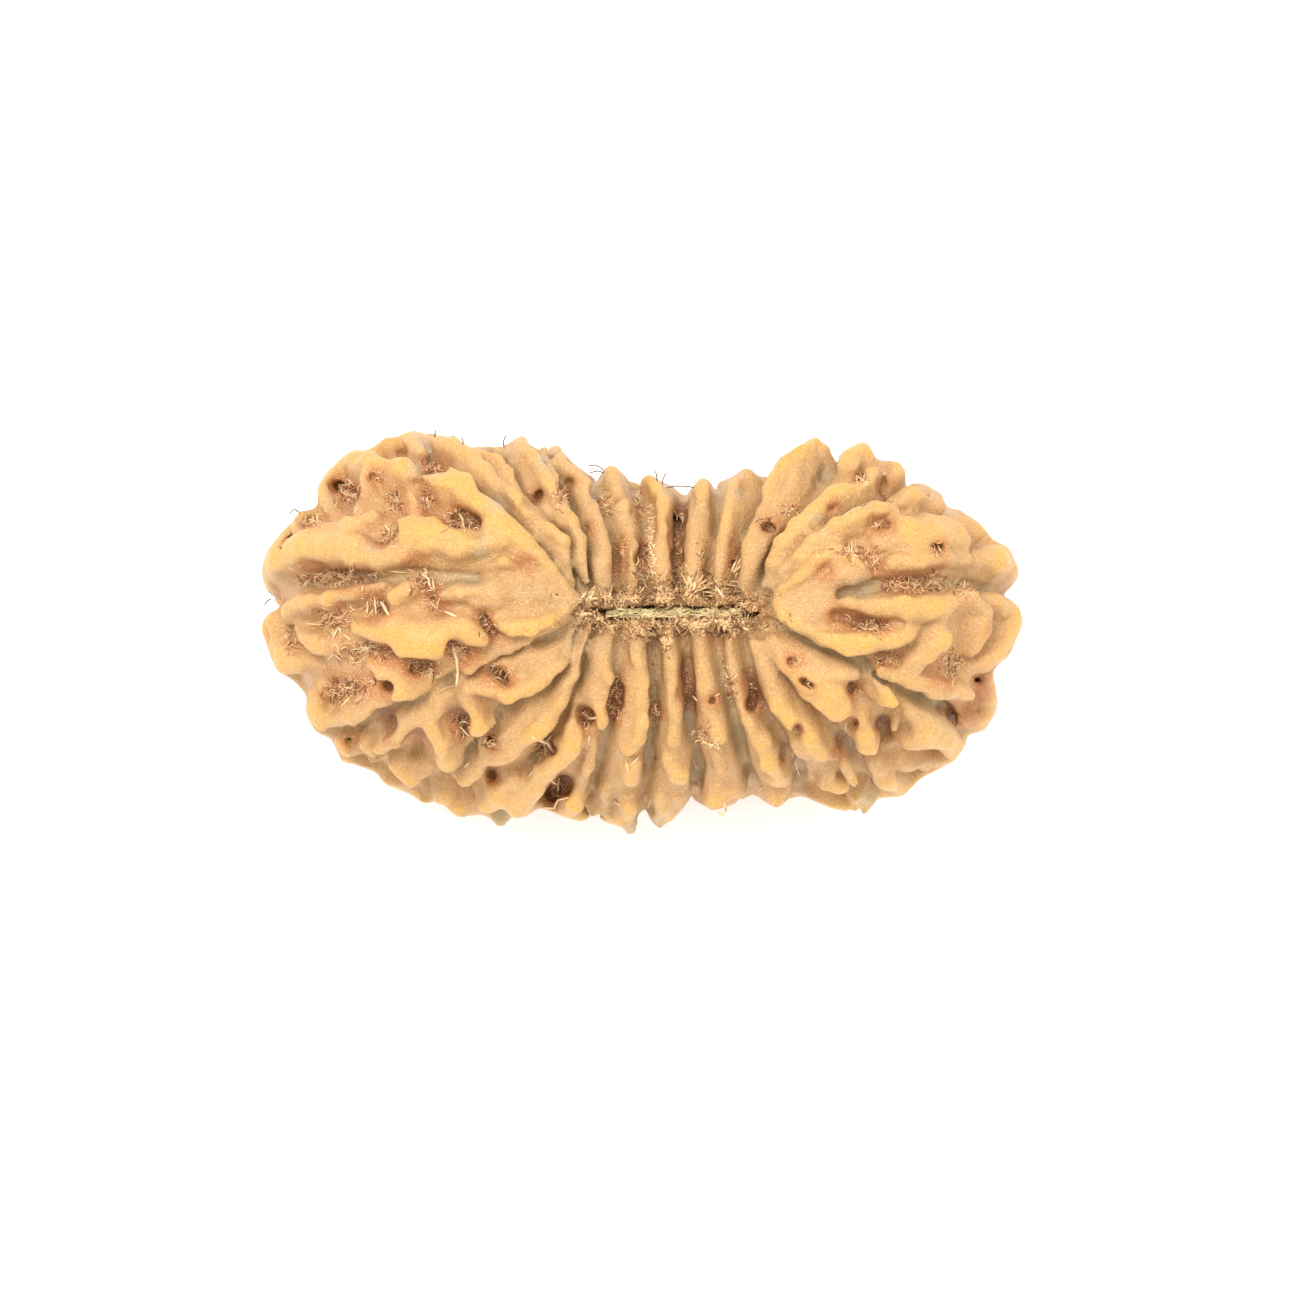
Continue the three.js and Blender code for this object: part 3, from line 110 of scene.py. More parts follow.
# Ridge crests by rib: places (u, v, height of the middle over the valley level, radius).
CRESTS = {
    "R22": [
        [(-5.1, .85, .2, .4), (-5.9, .9, -.2, .9), (-7, 1.2, -.8, 1.5), (-8.2, 1.2, -1.3, 1.9),
         (-9.3, 1.1, -1, 1.5)],
        [(-4.85, .85, .55, .2), (-5.4, .2, .55, .32), (-6.1, -.2, .55, .42), (-7.1, -.45, .5, .45),
         (-8, -.5, .4, .45), (-8.6, -.4, .3, .4)],
        [(-4.85, .95, .55, .2), (-5.35, 1.6, .55, .34), (-5.9, 2.3, .55, .42), (-6.6, 3, .5, .5),
         (-7.3, 3.65, .45, .58), (-8.1, 4.3, .4, .65), (-8.9, 4.95, .45, .7), (-9.6, 5.5, .5, .72),
         (-10.5, 6.2, .5, .75), (-11.4, 6.6, .5, .72), (-12.2, 6.75, .4, .65)],
        [(-9.1, 2.6, 0, .4), (-8.5, 2.85, .35, .5), (-8, 2.6, .2, .4)],
        [(-11.5, 1.05, .1, .3), (-10.5, 1.2, .3, .38), (-9.5, 1.2, .25, .34)],
        [(-7.2, 2.1, -.9, 1.3), (-7.9, 3.2, -.6, 1.1)],
        [(-8.6, 3.9, -.2, 1), (-9.7, 3.75, -.1, .95), (-10.8, 3.5, 0, 1.05), (-12, 3.8, 0, 1.15),
         (-13.1, 4.2, .1, 1)],
        [(-13, 3.4, -.3, 1), (-14.4, 2.9, -.2, .85), (-15.6, 3.2, 0, .95), (-16.8, 3.4, .1, 1),
         (-18, 3.4, .1, 1), (-19.2, 2.9, 0, 1), (-19.8, 2.2, 0, .85)],
        [(-14.9, 4.7, 0, .55), (-16, 4.3, .1, .8), (-17.2, 4.1, .1, .7), (-18.7, 4.2, 0, .6),
         (-19.5, 3.4, -.1, .7)],
        [(-17.2, 5.2, 0, .4), (-17.1, 6.2, 0, .62), (-16.7, 7, .1, .7), (-15.9, 7.6, .2, .75),
         (-15, 7.6, .2, .75), (-14.4, 7.4, .2, .65), (-13.6, 7.2, .2, .7), (-12.9, 7, .2, .5)],
        [(-15.1, 6.9, 0, .55), (-15.1, 6, -.1, .5), (-15.6, 5.2, -.1, .45)],
        [(-12.5, 7.9, 0, .6), (-12.95, 8.6, .2, .85)],
        [(-14.3, 8.7, -.3, .33)],
        [(-8.7, 6.3, 0, .7), (-9.5, 7.1, .2, .85), (-10.2, 7.7, .2, .8), (-11, 8.35, .2, .72),
         (-11.5, 8.5, .1, .6)],
        [(-13, 5.3, .1, .5), (-13, 6.05, .6, .27)],
    ],
    "R21": [
        [(-4.95, 1.6, 0, .35), (-5.35, 2.6, .2, .5), (-5.65, 3.5, .3, .6), (-6.3, 4.2, .4, .62),
         (-6.95, 4.9, .4, .62), (-7.5, 5.5, .4, .62), (-8.1, 6, .3, .55), (-8.5, 6.5, .2, .5)],
        [(-7.7, 6.3, .2, .28), (-8.2, 7.2, .4, .3), (-8.8, 7.85, .4, .3), (-9.6, 8.2, .3, .28)],
    ],
    "R20": [
        [(-4.3, 1.7, 0, .35), (-4.5, 2.8, .2, .42), (-4.7, 3.8, .3, .5), (-5.2, 4.7, .3, .55),
         (-5.8, 5.6, .3, .55), (-6.3, 6.4, .3, .5), (-6.8, 7.2, .3, .48), (-7.2, 8, .3, .42),
         (-7.45, 8.75, .3, .38)],
        [(-6, 6.6, .1, .35), (-6.25, 7.5, .1, .33), (-6.4, 8.3, .1, .33)],
    ],
    "R19": [
        [(-3.6, 1.7, 0, .45), (-3.5, 2.7, .1, .58), (-3.5, 3.6, .1, .58), (-3.8, 4.6, .15, .5),
         (-4.1, 5.6, .2, .42), (-4.3, 6.5, .2, .4), (-4.9, 7.2, .2, .42), (-5.5, 7.8, .2, .38),
         (-5.75, 8.35, .2, .28)],
    ],
    "R18": [
        [(-1.95, 2.2, .1, .2), (-1.9, 3.1, .3, .26), (-1.8, 3.8, .3, .22)],
        [(-2.6, 5.1, .1, .62), (-2.5, 5.6, .1, .5)],
        [(-2.7, 6.2, .1, .5), (-3, 7.15, .1, .5)],
    ],
    "R17": [
        [(-.5, 1.7, .1, .26), (-.5, 2.5, .25, .3), (-.6, 3.4, .3, .32), (-.45, 4.4, .35, .36),
         (-.45, 5.5, .35, .42), (-.8, 6.2, .3, .46), (-1.15, 6.75, .2, .4)],
    ],
    "R16": [
        [(1.2, 2.2, 0, .34), (1.05, 3.4, .15, .38), (.95, 4.6, .2, .32)],
        [(1.6, 5, 0, .26), (1.75, 5.8, .2, .34), (1.55, 6.6, .25, .4)],
    ],
    "R15": [
        [(2.15, 1.8, .1, .3), (2.3, 2.7, .25, .33), (2.5, 3.7, .35, .36), (2.8, 4.7, .4, .4),
         (3, 5.7, .45, .4), (3.2, 6.6, .4, .4)],
        [(3.7, 6.5, 0, .4), (3.8, 7.05, .1, .42)],
    ],
    "R14": [
        [(3.7, 1.6, 0, .42), (3.8, 2.6, .1, .52), (3.9, 3.5, .2, .52), (4.15, 4.3, .2, .45),
         (4.5, 5.1, .2, .4), (4.9, 5.9, .25, .5), (5.3, 6.8, .3, .55), (5.8, 7.5, .3, .6),
         (6.5, 8.1, .3, .6), (7.05, 8.5, .3, .5)],
        [(5.2, 5.4, .1, .5), (5.8, 6.1, .15, .45), (6.15, 7, .25, .42), (6.2, 7.5, .2, .4)],
        [(7.6, 8.2, 0, .45)],
    ],
    "R13": [
        [(4.7, 1.6, 0, .4), (5.1, 2.6, .1, .5), (5.7, 3.6, .2, .62), (6.4, 4.5, .3, .7),
         (7.2, 5.2, .35, .72), (8, 5.9, .35, .7), (8.8, 6.15, .35, .62), (9.6, 6.4, .3, .58),
         (9.9, 7.1, .3, .5)],
        [(8.7, 7.2, 0, .6), (9, 7.9, .1, .6), (9.55, 8.2, .2, .6)],
    ],
    "R12": [
        [(5.1, .75, .2, .4), (5.8, .7, -.2, .9), (6.8, .7, -.8, 1.5), (7.6, .5, -1.1, 1.7)],
        [(4.9, 1.5, .3, .28), (5.6, 2.35, .3, .4), (6.4, 3, .3, .5), (7.2, 3.8, .35, .6),
         (8.2, 4.4, .4, .65), (9.2, 4.9, .4, .65), (10.1, 5.2, .3, .55), (10.8, 5.2, .15, .5)],
        [(4.95, .9, .55, .2), (5.5, 1.45, .6, .32), (6.4, 2, .6, .42), (7.2, 2.75, .5, .48),
         (8.1, 3.3, .4, .52), (9, 2.95, .4, .5), (9.9, 2.45, .3, .42)],
        [(7, 1.5, -.9, 1.3), (8.3, 2.1, -.7, 1.2), (9.3, 2, -.3, .8)],
        [(10.2, 3.7, -.3, .7), (11.4, 3.9, -.3, 1.3), (12.6, 4, -.3, 1.4), (13.7, 3.9, -.3, 1.2)],
        [(11, 2.6, 0, .6), (12.2, 2.85, .1, .55), (13.6, 3, .1, .55), (14.4, 2.9, 0, .55)],
        [(14.3, 4.6, -.1, .75), (15, 4.3, -.1, .7)],
        [(14.8, 2.8, -.2, .9), (15.7, 2.7, -.2, 1), (16.4, 2.7, -.1, .85)],
        [(16.1, 3.2, 0, .65)],
        [(11, 5.7, -.1, .55), (11.9, 5.75, 0, .72), (12.4, 5.7, -.1, .55)],
        [(12.8, 5.75, -.1, .55), (13.05, 5.7, -.1, .5)],
        [(12.5, 6.35, -.3, .25)],
        [(10.8, 6.9, 0, .6), (11.2, 7.15, 0, .62)],
    ],
    "R11": [
        [(9.3, .55, 0, .4), (10.2, .6, .1, .65), (11.4, .55, .1, .8), (12.7, .5, .1, .85),
         (13.5, .6, .1, .7)],
        [(13.2, 0, 0, .8), (13.1, -.8, 0, .9), (12.5, -1.5, 0, .7), (11.8, -2.2, 0, .55)],
        [(4.95, .65, .55, .2), (5.6, .15, .6, .32), (6.5, -.45, .55, .42), (7.5, -1, .45, .55),
         (8.7, -1.3, .35, .68), (9.8, -1.35, .35, .68), (10.8, -1.1, .3, .64), (11.8, -.75, .2, .64)],
        [(8.2, .5, .1, .3), (9.2, .6, .2, .4)],
        [(10.4, -2.6, .1, .45), (11.6, -3, .15, .5), (12.8, -3.5, .2, .52), (14, -3.75, .15, .6),
         (14.7, -3.6, .1, .6), (14.9, -2.9, 0, .5)],
        [(14.9, 1, -.1, .7), (15.4, .2, 0, .75), (15.2, -.6, 0, .7), (14.9, -1.5, -.1, .5)],
        [(16, .8, -.1, .6), (16.7, .2, 0, .8), (16.6, -.6, 0, .75), (16, -1.6, 0, .72),
         (15.4, -2.2, 0, .62)],
        [(15.75, -2.9, 0, .33), (15.8, -3.8, 0, .42), (15.65, -4.7, 0, .58), (15, -5.1, -.1, .55)],
    ],
    "R10": [
        [(10, -3, 0, .35), (10.4, -3.6, .3, .45), (10.6, -4.25, .7, .55)],
        [(11, -5, .1, .28), (11.05, -5.6, .3, .26)],
        [(11.7, -4.5, 0, .6), (12.5, -5.2, .1, 1), (13.3, -5.8, .1, .95), (13.9, -6.2, 0, .78)],
        [(11.8, -5.9, .1, .65), (12.9, -6.1, .1, .65)],
        [(9.3, -4.9, .2, .55), (9.55, -5.7, .3, .65), (9.75, -6.35, .4, .62)],
        [(10, -7.3, .1, .42), (10.6, -7.9, 0, .6), (11.2, -8.25, 0, .68)],
        [(11.5, -7.3, -.2, .55), (12.6, -7.1, -.3, .6), (13.8, -6.7, -.2, .55)],
    ],
    "R9": [
        [(5.2, -1.2, -.3, .8), (6, -2.2, -.1, .95), (7, -3.1, .1, 1.1), (7.8, -3.8, .25, 1.05),
         (8.4, -4.35, .3, .8)],
        [(7.2, -2.2, -.2, .8), (8.2, -2.7, 0, .8), (8.9, -2.7, 0, .6)],
        [(8.8, -4.6, .1, .5)],
    ],
    "R8": [
        [(4.2, -1.2, 0, .4), (4.6, -2.2, .1, .5), (4.95, -3.2, .2, .6), (5.4, -4.2, .3, .7),
         (6, -5, .35, .72), (6.8, -5.8, .4, .72), (7.4, -6.7, .45, .6)],
        [(6.2, -6.1, .2, .5), (6.8, -6.85, .3, .52)],
        [(7.7, -7.4, -.1, .55), (7.6, -8.1, 0, .6), (8.3, -8.3, 0, .55)],
        [(8.5, -7.2, .2, .45), (9, -8, .4, .45)],
        [(7.4, -8.95, -.3, .48), (8.4, -9.1, -.4, .45)],
        [(9.3, -8.6, 0, .5), (9.6, -9.3, .2, .64)],
    ],
    "R7b": [
        [(2.9, -1.6, 0, .28), (3, -2.6, .1, .3), (3.25, -3.6, .2, .33), (3.55, -4.5, .25, .35),
         (3.85, -5.2, .3, .45), (4.4, -6, .3, .6), (4.75, -6.9, .3, .68), (5.1, -7.8, .3, .72),
         (5.3, -8, .2, .7)],
        [(5.25, -8.8, 0, .55)],
    ],
    "R7": [
        [(1.5, -1.4, 0, .38), (1.6, -2.4, .1, .42), (1.75, -3.4, .2, .48), (1.95, -4.4, .25, .52),
         (2.15, -5.3, .3, .54), (2.35, -5.9, .35, .48)],
        [(2.3, -6.8, .05, .5), (2.45, -7.6, .25, .5)],
        [(2.3, -8.3, -.1, .6), (2.05, -9, .1, .58)],
        [(2.9, -8.5, -.1, .5)],
        [(3.3, -7.6, -.2, .28), (3.35, -8.7, -.2, .4)],
    ],
    "R6": [
        [(.1, -1.2, 0, .25), (.05, -2.3, .15, .33), (.1, -3.5, .25, .38), (.15, -4.6, .3, .42),
         (.15, -5.6, .3, .42), (.1, -6.1, .25, .38)],
        [(-.1, -6.9, .1, .6), (.25, -7.6, .2, .62), (.45, -7.9, .2, .55)],
        [(-.6, -8.5, -.1, .45), (-.5, -9.3, 0, .48), (-.6, -10.15, .2, .5)],
        [(.35, -8.7, -.2, .38), (.3, -9.35, -.2, .35)],
    ],
    "R5": [
        [(-1.9, -1.2, 0, .33), (-1.75, -2.2, .15, .42), (-1.55, -3.2, .25, .45), (-1.5, -4.3, .3, .45),
         (-1.5, -5.2, .3, .48), (-1.75, -6, .35, .55), (-2.1, -6.5, .35, .5)],
        [(-2.4, -5.3, .1, .42), (-2.5, -6.2, .15, .48)],
        [(-2.1, -7.2, .1, .7), (-1.95, -7.95, .25, .68)],
        [(-2, -9.2, 0, .5), (-2.1, -10.4, .3, .48)],
    ],
    "R4": [
        [(-3.7, -1, 0, .45), (-3.6, -1.9, .1, .6), (-3.4, -2.9, .2, .58), (-3.45, -3.7, .2, .45),
         (-3.75, -4.4, .25, .5), (-3.65, -5.2, .35, .5)],
        [(-3.3, -8.4, -.1, .33), (-3.3, -9.5, 0, .42)],
        [(-3.9, -9.9, -.3, .38)],
    ],
    "R3d": [
        [(-3.95, -6.2, 0, .35), (-4.2, -7.2, .1, .45), (-4.6, -8.1, .15, .55), (-4.9, -8.9, .15, .58),
         (-5.2, -9.4, .1, .48)],
    ],
    "R3c": [
        [(-4.7, -4.3, 0, .28), (-5, -5.3, .2, .55), (-5.15, -6.2, .35, .72), (-5.7, -6.9, .35, .6),
         (-6.3, -7.6, .3, .58), (-6.9, -8.3, .25, .66), (-7.6, -8.9, .2, .7), (-7.9, -9.4, .1, .68)],
        [(-8.6, -10.05, 0, .6)],
    ],
    "R3": [
        [(-4.6, -2.2, .1, .22), (-4.9, -3.1, .2, .4), (-5.6, -4.1, .3, .52), (-6.3, -5, .35, .58),
         (-7, -5.7, .4, .6), (-7.9, -6.5, .35, .62), (-8.6, -6.9, .3, .6), (-9.4, -7.4, .25, .58),
         (-10.3, -7.9, .15, .52)],
        [(-7.5, -4.9, 0, .4), (-8.2, -5.8, .05, .4), (-9.4, -6.7, 0, .4)],
        [(-7.8, -7.9, .1, .45), (-8.6, -8.6, 0, .5), (-9.2, -8.9, 0, .58)],
        [(-10.4, -9.2, -.1, .75)],
        [(-11.4, -8.6, -.1, .62)],
        [(-12.3, -8.9, -.2, .48)],
    ],
    "R2": [
        [(-5, -1.3, 0, .35), (-5.6, -2.2, .1, .42), (-6.4, -2.9, .2, .5), (-7.3, -3.4, .3, .55),
         (-8.3, -3.8, .35, .5), (-9.2, -3.65, .25, .42), (-10.2, -3.6, .2, .42)],
        [(-7, -1.2, -.1, .4), (-8.2, -1.6, 0, .38), (-9.4, -2.2, .1, .4), (-10.2, -2.7, .1, .42)],
        [(-10.3, -4, .1, .5), (-9.9, -4.8, .3, .6), (-9.7, -5.35, .45, .58)],
        [(-9.1, -5.1, .1, .4)],
        [(-11.6, -4.5, 0, .6), (-12.7, -4.8, 0, .5), (-13.3, -5.3, .1, .5), (-13.9, -6.1, .2, .52),
         (-14.5, -6.4, .1, .48)],
        [(-12, -5.2, .1, .7), (-11.55, -6.2, .3, .75), (-11.2, -7.1, .45, .68)],
        [(-13.7, -7.2, -.1, .7), (-13, -7.9, 0, .62), (-12.3, -7.7, -.1, .5)],
        [(-13.2, -8.2, -.2, .42)],
        [(-16.3, -6.2, -.1, .55), (-16, -6.6, -.1, .5)],
        [(-15.4, -6.1, -.1, .5), (-14.9, -6.6, -.1, .45)],
        [(-15, -7, -.3, .45)],
        [(-14.3, -7.8, -.3, .42)],
    ],
    "R1": [
        [(-9.6, -1, .2, .55), (-10.5, -.6, .1, .85), (-11.8, -.9, -.1, 1.3), (-12.9, -.9, -.2, 1.4),
         (-13.8, -.5, -.1, 1.1), (-14.6, -.8, 0, .8), (-15.6, -.4, 0, .65)],
        [(-12.9, 1.3, 0, .6), (-13.6, .8, 0, .75)],
        [(-14.3, 1.5, 0, .4), (-15.8, 1.3, 0, .4), (-17, 1, .1, .55), (-18.3, .7, 0, .75),
         (-19, .2, 0, .75)],
        [(-19.7, -.3, 0, .85), (-19.6, -1.3, 0, .8), (-19.1, -2.1, 0, .8), (-18.3, -2.3, -.1, .7)],
        [(-18.5, -.7, -.1, .6), (-17.6, -1.3, 0, .65), (-17, -1.5, 0, .55)],
        [(-14.9, -2.3, .1, .5), (-14.2, -2.8, .2, .75), (-13.5, -3.5, .35, .78), (-12.8, -3.8, .2, .45)],
        [(-17, -4.9, 0, .55), (-15.9, -4.8, .1, .66), (-15, -4.5, .15, .58), (-14.4, -4.3, .1, .5)],
        [(-17.6, -3.4, -.1, .5), (-17.6, -4.4, 0, .62), (-17.4, -5, 0, .62)],
        [(-15.3, -3.9, -.2, .5), (-14.8, -3.7, -.1, .4)],
    ],
}

# Wells that fibres once ran through, open toward the eye, in the same form.
WELLS = [
    [(-11.2, 5, .2, .35), (-10.6, 4.9, -.1, .5), (-9.9, 4.6, -.1, .45)],
    [(-16.6, 6.6, .3, .3), (-16.1, 6.2, .1, .42), (-15.9, 5.7, .1, .4)], [(-14.9, 7.05, .6, .2)],
    [(-14.1, 6.2, .2, .5), (-14, 5.7, .2, .45), (-13.6, 5.4, .2, .3)],
    [(-12.7, 6.6, .3, .3), (-12.4, 6.1, .2, .3), (-12.1, 5.4, .2, .3)],
    [(-14.5, 3.9, .2, .4), (-14.1, 4.3, .2, .4)], [(-19.1, 3.75, .5, .25)],
    [(-18.1, 4.8, .3, .3), (-17.7, 4.6, .4, .25)], [(-12, 7.6, .1, .4), (-11.6, 7.4, .1, .35)],
    [(-13.55, 8.05, .3, .15)], [(-12.85, 2.6, .2, .4)], [(-7.6, 2.75, .5, .14), (-7.2, 2.62, .5, .12)],
    [(-18.3, 2.2, .2, .35), (-17.6, 2.1, .1, .45), (-16.6, 1.9, .1, .4), (-15.7, 1.9, .1, .25)],
    [(-15.5, .8, .5, .2), (-15.2, .3, .4, .3), (-14.7, .7, .3, .4), (-14.4, .25, .3, .3)],
    [(-17.6, .1, .2, .35), (-16.8, .1, .2, .35), (-16.7, -.6, .2, .25)],
    [(-19.2, -1.1, .5, .25), (-18.7, -1.3, .4, .22)],
    [(-12.1, 1.9, .1, .25), (-12, 1.1, -.3, .3), (-11.7, .5, 0, .2)],
    [(-9.5, .1, 0, .2), (-9.4, -.4, -.3, .27), (-9.05, -.9, -.2, .25)],
    [(-15.9, -1.6, .2, .3), (-15.4, -1.5, .1, .35), (-14.8, -1.7, .2, .25), (-13.9, -1.9, .3, .2)],
    [(-16.3, -1.9, .1, .25), (-15.7, -2, -.1, .3), (-15.7, -2.6, .1, .3)],
    [(-13, -2.6, -.2, .35), (-12.2, -2.6, 0, .35), (-11.8, -2.7, .2, .2)],
    [(-10.9, -1.4, .1, .45), (-10.7, -1.9, 0, .4), (-10.2, -1.85, .1, .2)],
    [(-9.2, -2.75, .1, .24), (-8.6, -2.95, -.1, .32), (-8.3, -3.2, 0, .2)],
    [(-10.55, -5.1, -.2, .4), (-10.5, -5.8, -.2, .35)], [(-9, -6.2, 0, .3)], [(-9, -4.4, .5, .3)],
    [(-12.9, -6.2, .1, .45), (-12.7, -7, .15, .42)],
    [(-17, -3.3, 0, .4), (-16.3, -3.6, 0, .5), (-15.4, -3.4, 0, .4)], [(-17.1, -4.1, .2, .25)],
    [(-14.3, -3.6, 0, .35)], [(-14.6, -5.3, 0, .35), (-14.1, -5.3, -.2, .4), (-14.2, -5.8, .1, .3)],
    [(-16, -6.1, .2, .2)], [(-8.9, -7.95, 0, .3)], [(-7.5, -8.95, .4, .2)], [(-6.1, -6.6, 0, .35)],
    [(-5.4, -8.3, -.2, .4), (-6, -8.8, -.3, .45)], [(-4.35, -4.9, -.1, .35), (-4.25, -5.4, 0, .25)],
    [(-2.7, -3.6, -.1, .35), (-2.75, -4.3, -.2, .35), (-3, -5, -.1, .25)], [(-.8, -4.7, -.2, .25)],
    [(.75, -2.6, -.2, .2), (.8, -3.6, -.3, .25), (.85, -4.4, -.4, .35)], [(2.05, -4.15, .4, .25)],
    [(3.9, -3.2, -.1, .25), (4.1, -3.9, -.4, .35), (4, -4.5, -.2, .3)], [(5.7, -7, .1, .3)],
    [(6.2, -5.65, .6, .2)], [(6.1, -2.2, .5, .25)], [(6.7, -3.3, .6, .2), (7.1, -3.5, .6, .18)],
    [(9, -3.6, 0, .3)], [(9.05, -5.2, .2, .22)], [(10.4, -5.2, -.5, .45), (10.6, -6, -.5, .4)],
    [(8.3, -6.6, -.1, .4)],
    [(8.2, .1, .2, .25), (9, -.1, .1, .3), (9.6, -.35, 0, .35), (10.3, -.4, .1, .3)],
    [(10.4, -2.05, 0, .25), (11, -2, .1, .25)],
    [(13.2, -2.8, .3, .3), (13.8, -2.4, .2, .4), (14.1, -1.9, .3, .3), (13.7, -3.1, .3, .25)],
    [(15.3, -3.2, .1, .22), (15.4, -3.8, .1, .2)], [(13.9, -4.8, -.1, .33), (14.7, -4.9, -.1, .3)],
    [(14.1, -.3, .5, .25)], [(16.3, -.1, .6, .2), (15.9, -.6, .6, .15)],
    [(11.2, 1.7, .1, .35), (12, 1.6, 0, .4), (12.9, 1.8, .1, .4), (13.4, 2.2, .1, .4)],
    [(13.3, 3.5, .5, .3)], [(9.7, 3.1, .2, .2), (10.2, 2.6, .1, .2), (10.4, 2.3, 0, .2)],
    [(7.5, 2.35, .6, .2), (7.7, 2.2, .6, .18)], [(10.2, 4.6, .3, .25), (10.8, 4.4, .2, .25)],
    [(8, 5.55, .4, .2)], [(9.3, 6.9, .2, .2)], [(10.55, 6.3, -.1, .3), (10.4, 6.9, .2, .2)],
    [(4.8, 4.6, 0, .25), (5.1, 4.5, 0, .22)], [(3.1, 2.5, -.2, .16), (3.15, 3.3, -.2, .18)],
    [(.3, 3, -.3, .18), (.3, 4, -.3, .24), (.35, 4.9, -.4, .24), (.4, 5.5, -.4, .18)],
    [(-1.5, 2.8, -.2, .2), (-1.4, 3.6, -.3, .2)], [(-2.6, 2.6, -.2, .15), (-2.45, 3.6, -.2, .2)],
    [(-3.75, 6.2, 0, .2)], [(-2.9, 5.85, .3, .15)], [(-5.2, 6.6, 0, .2)], [(-6.7, 6, -.2, .28)],
    [(-4.3, 4.5, .1, .2)], [(-19.8, 1.3, .2, .3)],
    [(1.9, -.6, -.1, .14), (2.5, -.72, -.25, .2), (3, -.75, -.15, .15)],
    [(-.25, -.2, -.2, .13), (.1, -.2, -.2, .15)], [(3.2, .5, -.1, .13), (3.7, .42, -.2, .16)],
    [(-3.3, -.1, -.2, .12), (-2.9, -.15, -.2, .14)], [(4.4, .2, -.1, .15)],
]

# Lines between neighbouring ribs from the slit outward, then on to the lower pole.
LINES = [
    [(-4.9, .25), (-5.2, .3), (-7.5, 1.4), (-9.6, 1.8), (-12, 2), (-15.6, 2.1), (-18.6, 1.9), (-20.1, 1.1)],
    [(-4.7, -.2), (-5.6, -1), (-7.6, -1.6), (-9.1, -2), (-10.7, -3.2), (-12.1, -4), (-13.8, -4.5),
     (-15.6, -5.3), (-16.9, -5.9)],
    [(-4.4, -.4), (-5.3, -1.8), (-6.2, -3.6), (-7.4, -3.9), (-8.6, -5.1), (-9.7, -6.7), (-11.8, -7.9),
     (-12.9, -8.6)],
    [(-3.8, -.55), (-4.1, -1.6), (-5.1, -4.1), (-5.9, -5.6), (-6.6, -7), (-7.1, -8.1), (-8.6, -9.4),
     (-9.4, -9.8)],
    [(-2.5, -.7), (-2.6, -2.1), (-3, -3.6), (-3.1, -5.1), (-3.4, -6.4), (-3.6, -7.4), (-4.4, -10.2)],
    [(-.9, -.7), (-.9, -3.6), (-.9, -5.1), (-1.1, -6.6), (-1.2, -8.2), (-1.3, -10.3)],
    [(.5, -.7), (.7, -1.6), (.9, -4.1), (.9, -6.1), (1.3, -7.1), (1.2, -8.9)],
    [(2.2, -.7), (2.3, -2), (2.7, -3.6), (3.2, -5.6), (3.7, -7.6), (4.1, -8.6)],
    [(3.4, -.6), (3.6, -1.6), (4, -3.6), (4.7, -5), (5.6, -6.4), (6.2, -7.4), (6.4, -8.7)],
    [(4.2, -.5), (4.9, -1.3), (5.7, -2.6), (6.8, -4.2), (7.7, -5.3), (8.2, -6.1), (9.3, -7.3), (10.3, -8.9)],
    [(4.6, -.25), (6.4, -1.1), (8.9, -2.1), (10.2, -3.1), (11.5, -3.7), (13, -4.4), (14.7, -5.8)],
    [(4.8, .1), (7.9, .9), (10.4, 1.7), (12, 1.6), (14.8, 1.5), (16.6, 1.2)],
    [(4.6, .4), (4.7, 1.1), (6.4, 2.9), (7.9, 4.2), (9.9, 5.4), (10.9, 5.9), (11.9, 6.6)],
    [(4, .65), (4.3, 1.4), (5.7, 4.7), (6.4, 5.7), (7.2, 6.7), (8.4, 8.2)],
    [(3.1, .75), (3.2, 2.9), (3.4, 3.9), (4.3, 5.7), (4.8, 6.8)],
    [(1.7, .8), (1.7, 1.4), (2.2, 3.9), (2.4, 5.9), (2.3, 6.6)],
    [(.3, .8), (.3, 3.9), (.5, 5.9), (.6, 6.3)],
    [(-1.3, .8), (-1.5, 2.9), (-1.2, 4.4), (-1.5, 5.9), (-1.9, 6.6)],
    [(-2.7, .75), (-2.7, 2.9), (-3.3, 5.1), (-3.8, 6.3), (-3.9, 6.9)],
    [(-3.8, .7), (-4.1, 1.3), (-4.2, 3.7), (-4.6, 4.7), (-5.9, 7.2), (-6.9, 8.3)],
    [(-4.4, .6), (-4.6, 1.2), (-5.2, 3.7), (-6.6, 5.8), (-7.7, 6.6), (-9, 8.4)],
    [(-4.8, .45), (-5.6, 2.2), (-6.6, 3.4), (-8.6, 5.5), (-10.4, 6.6), (-12.3, 7.3), (-12, 9.1)],
]
BANDS = 38
# the spine inside the stone: a place's share of its run along the slit, the ends, and its y
SPINE_SHARE = 0.62
SPINE_ENDS = (-10, 8.4)
SPINE_Y = -1.0


def spine_beside(x):
    return np.clip(x * SPINE_SHARE, *SPINE_ENDS)


def outward(spine, way):
    """place on the bare stone going out from the spine"""
    reach = np.arange(0, 26, 0.05)
    over = bare(spine + reach[:, None] * way)
    return spine + way * reach[int(np.argmax(over >= 0))]


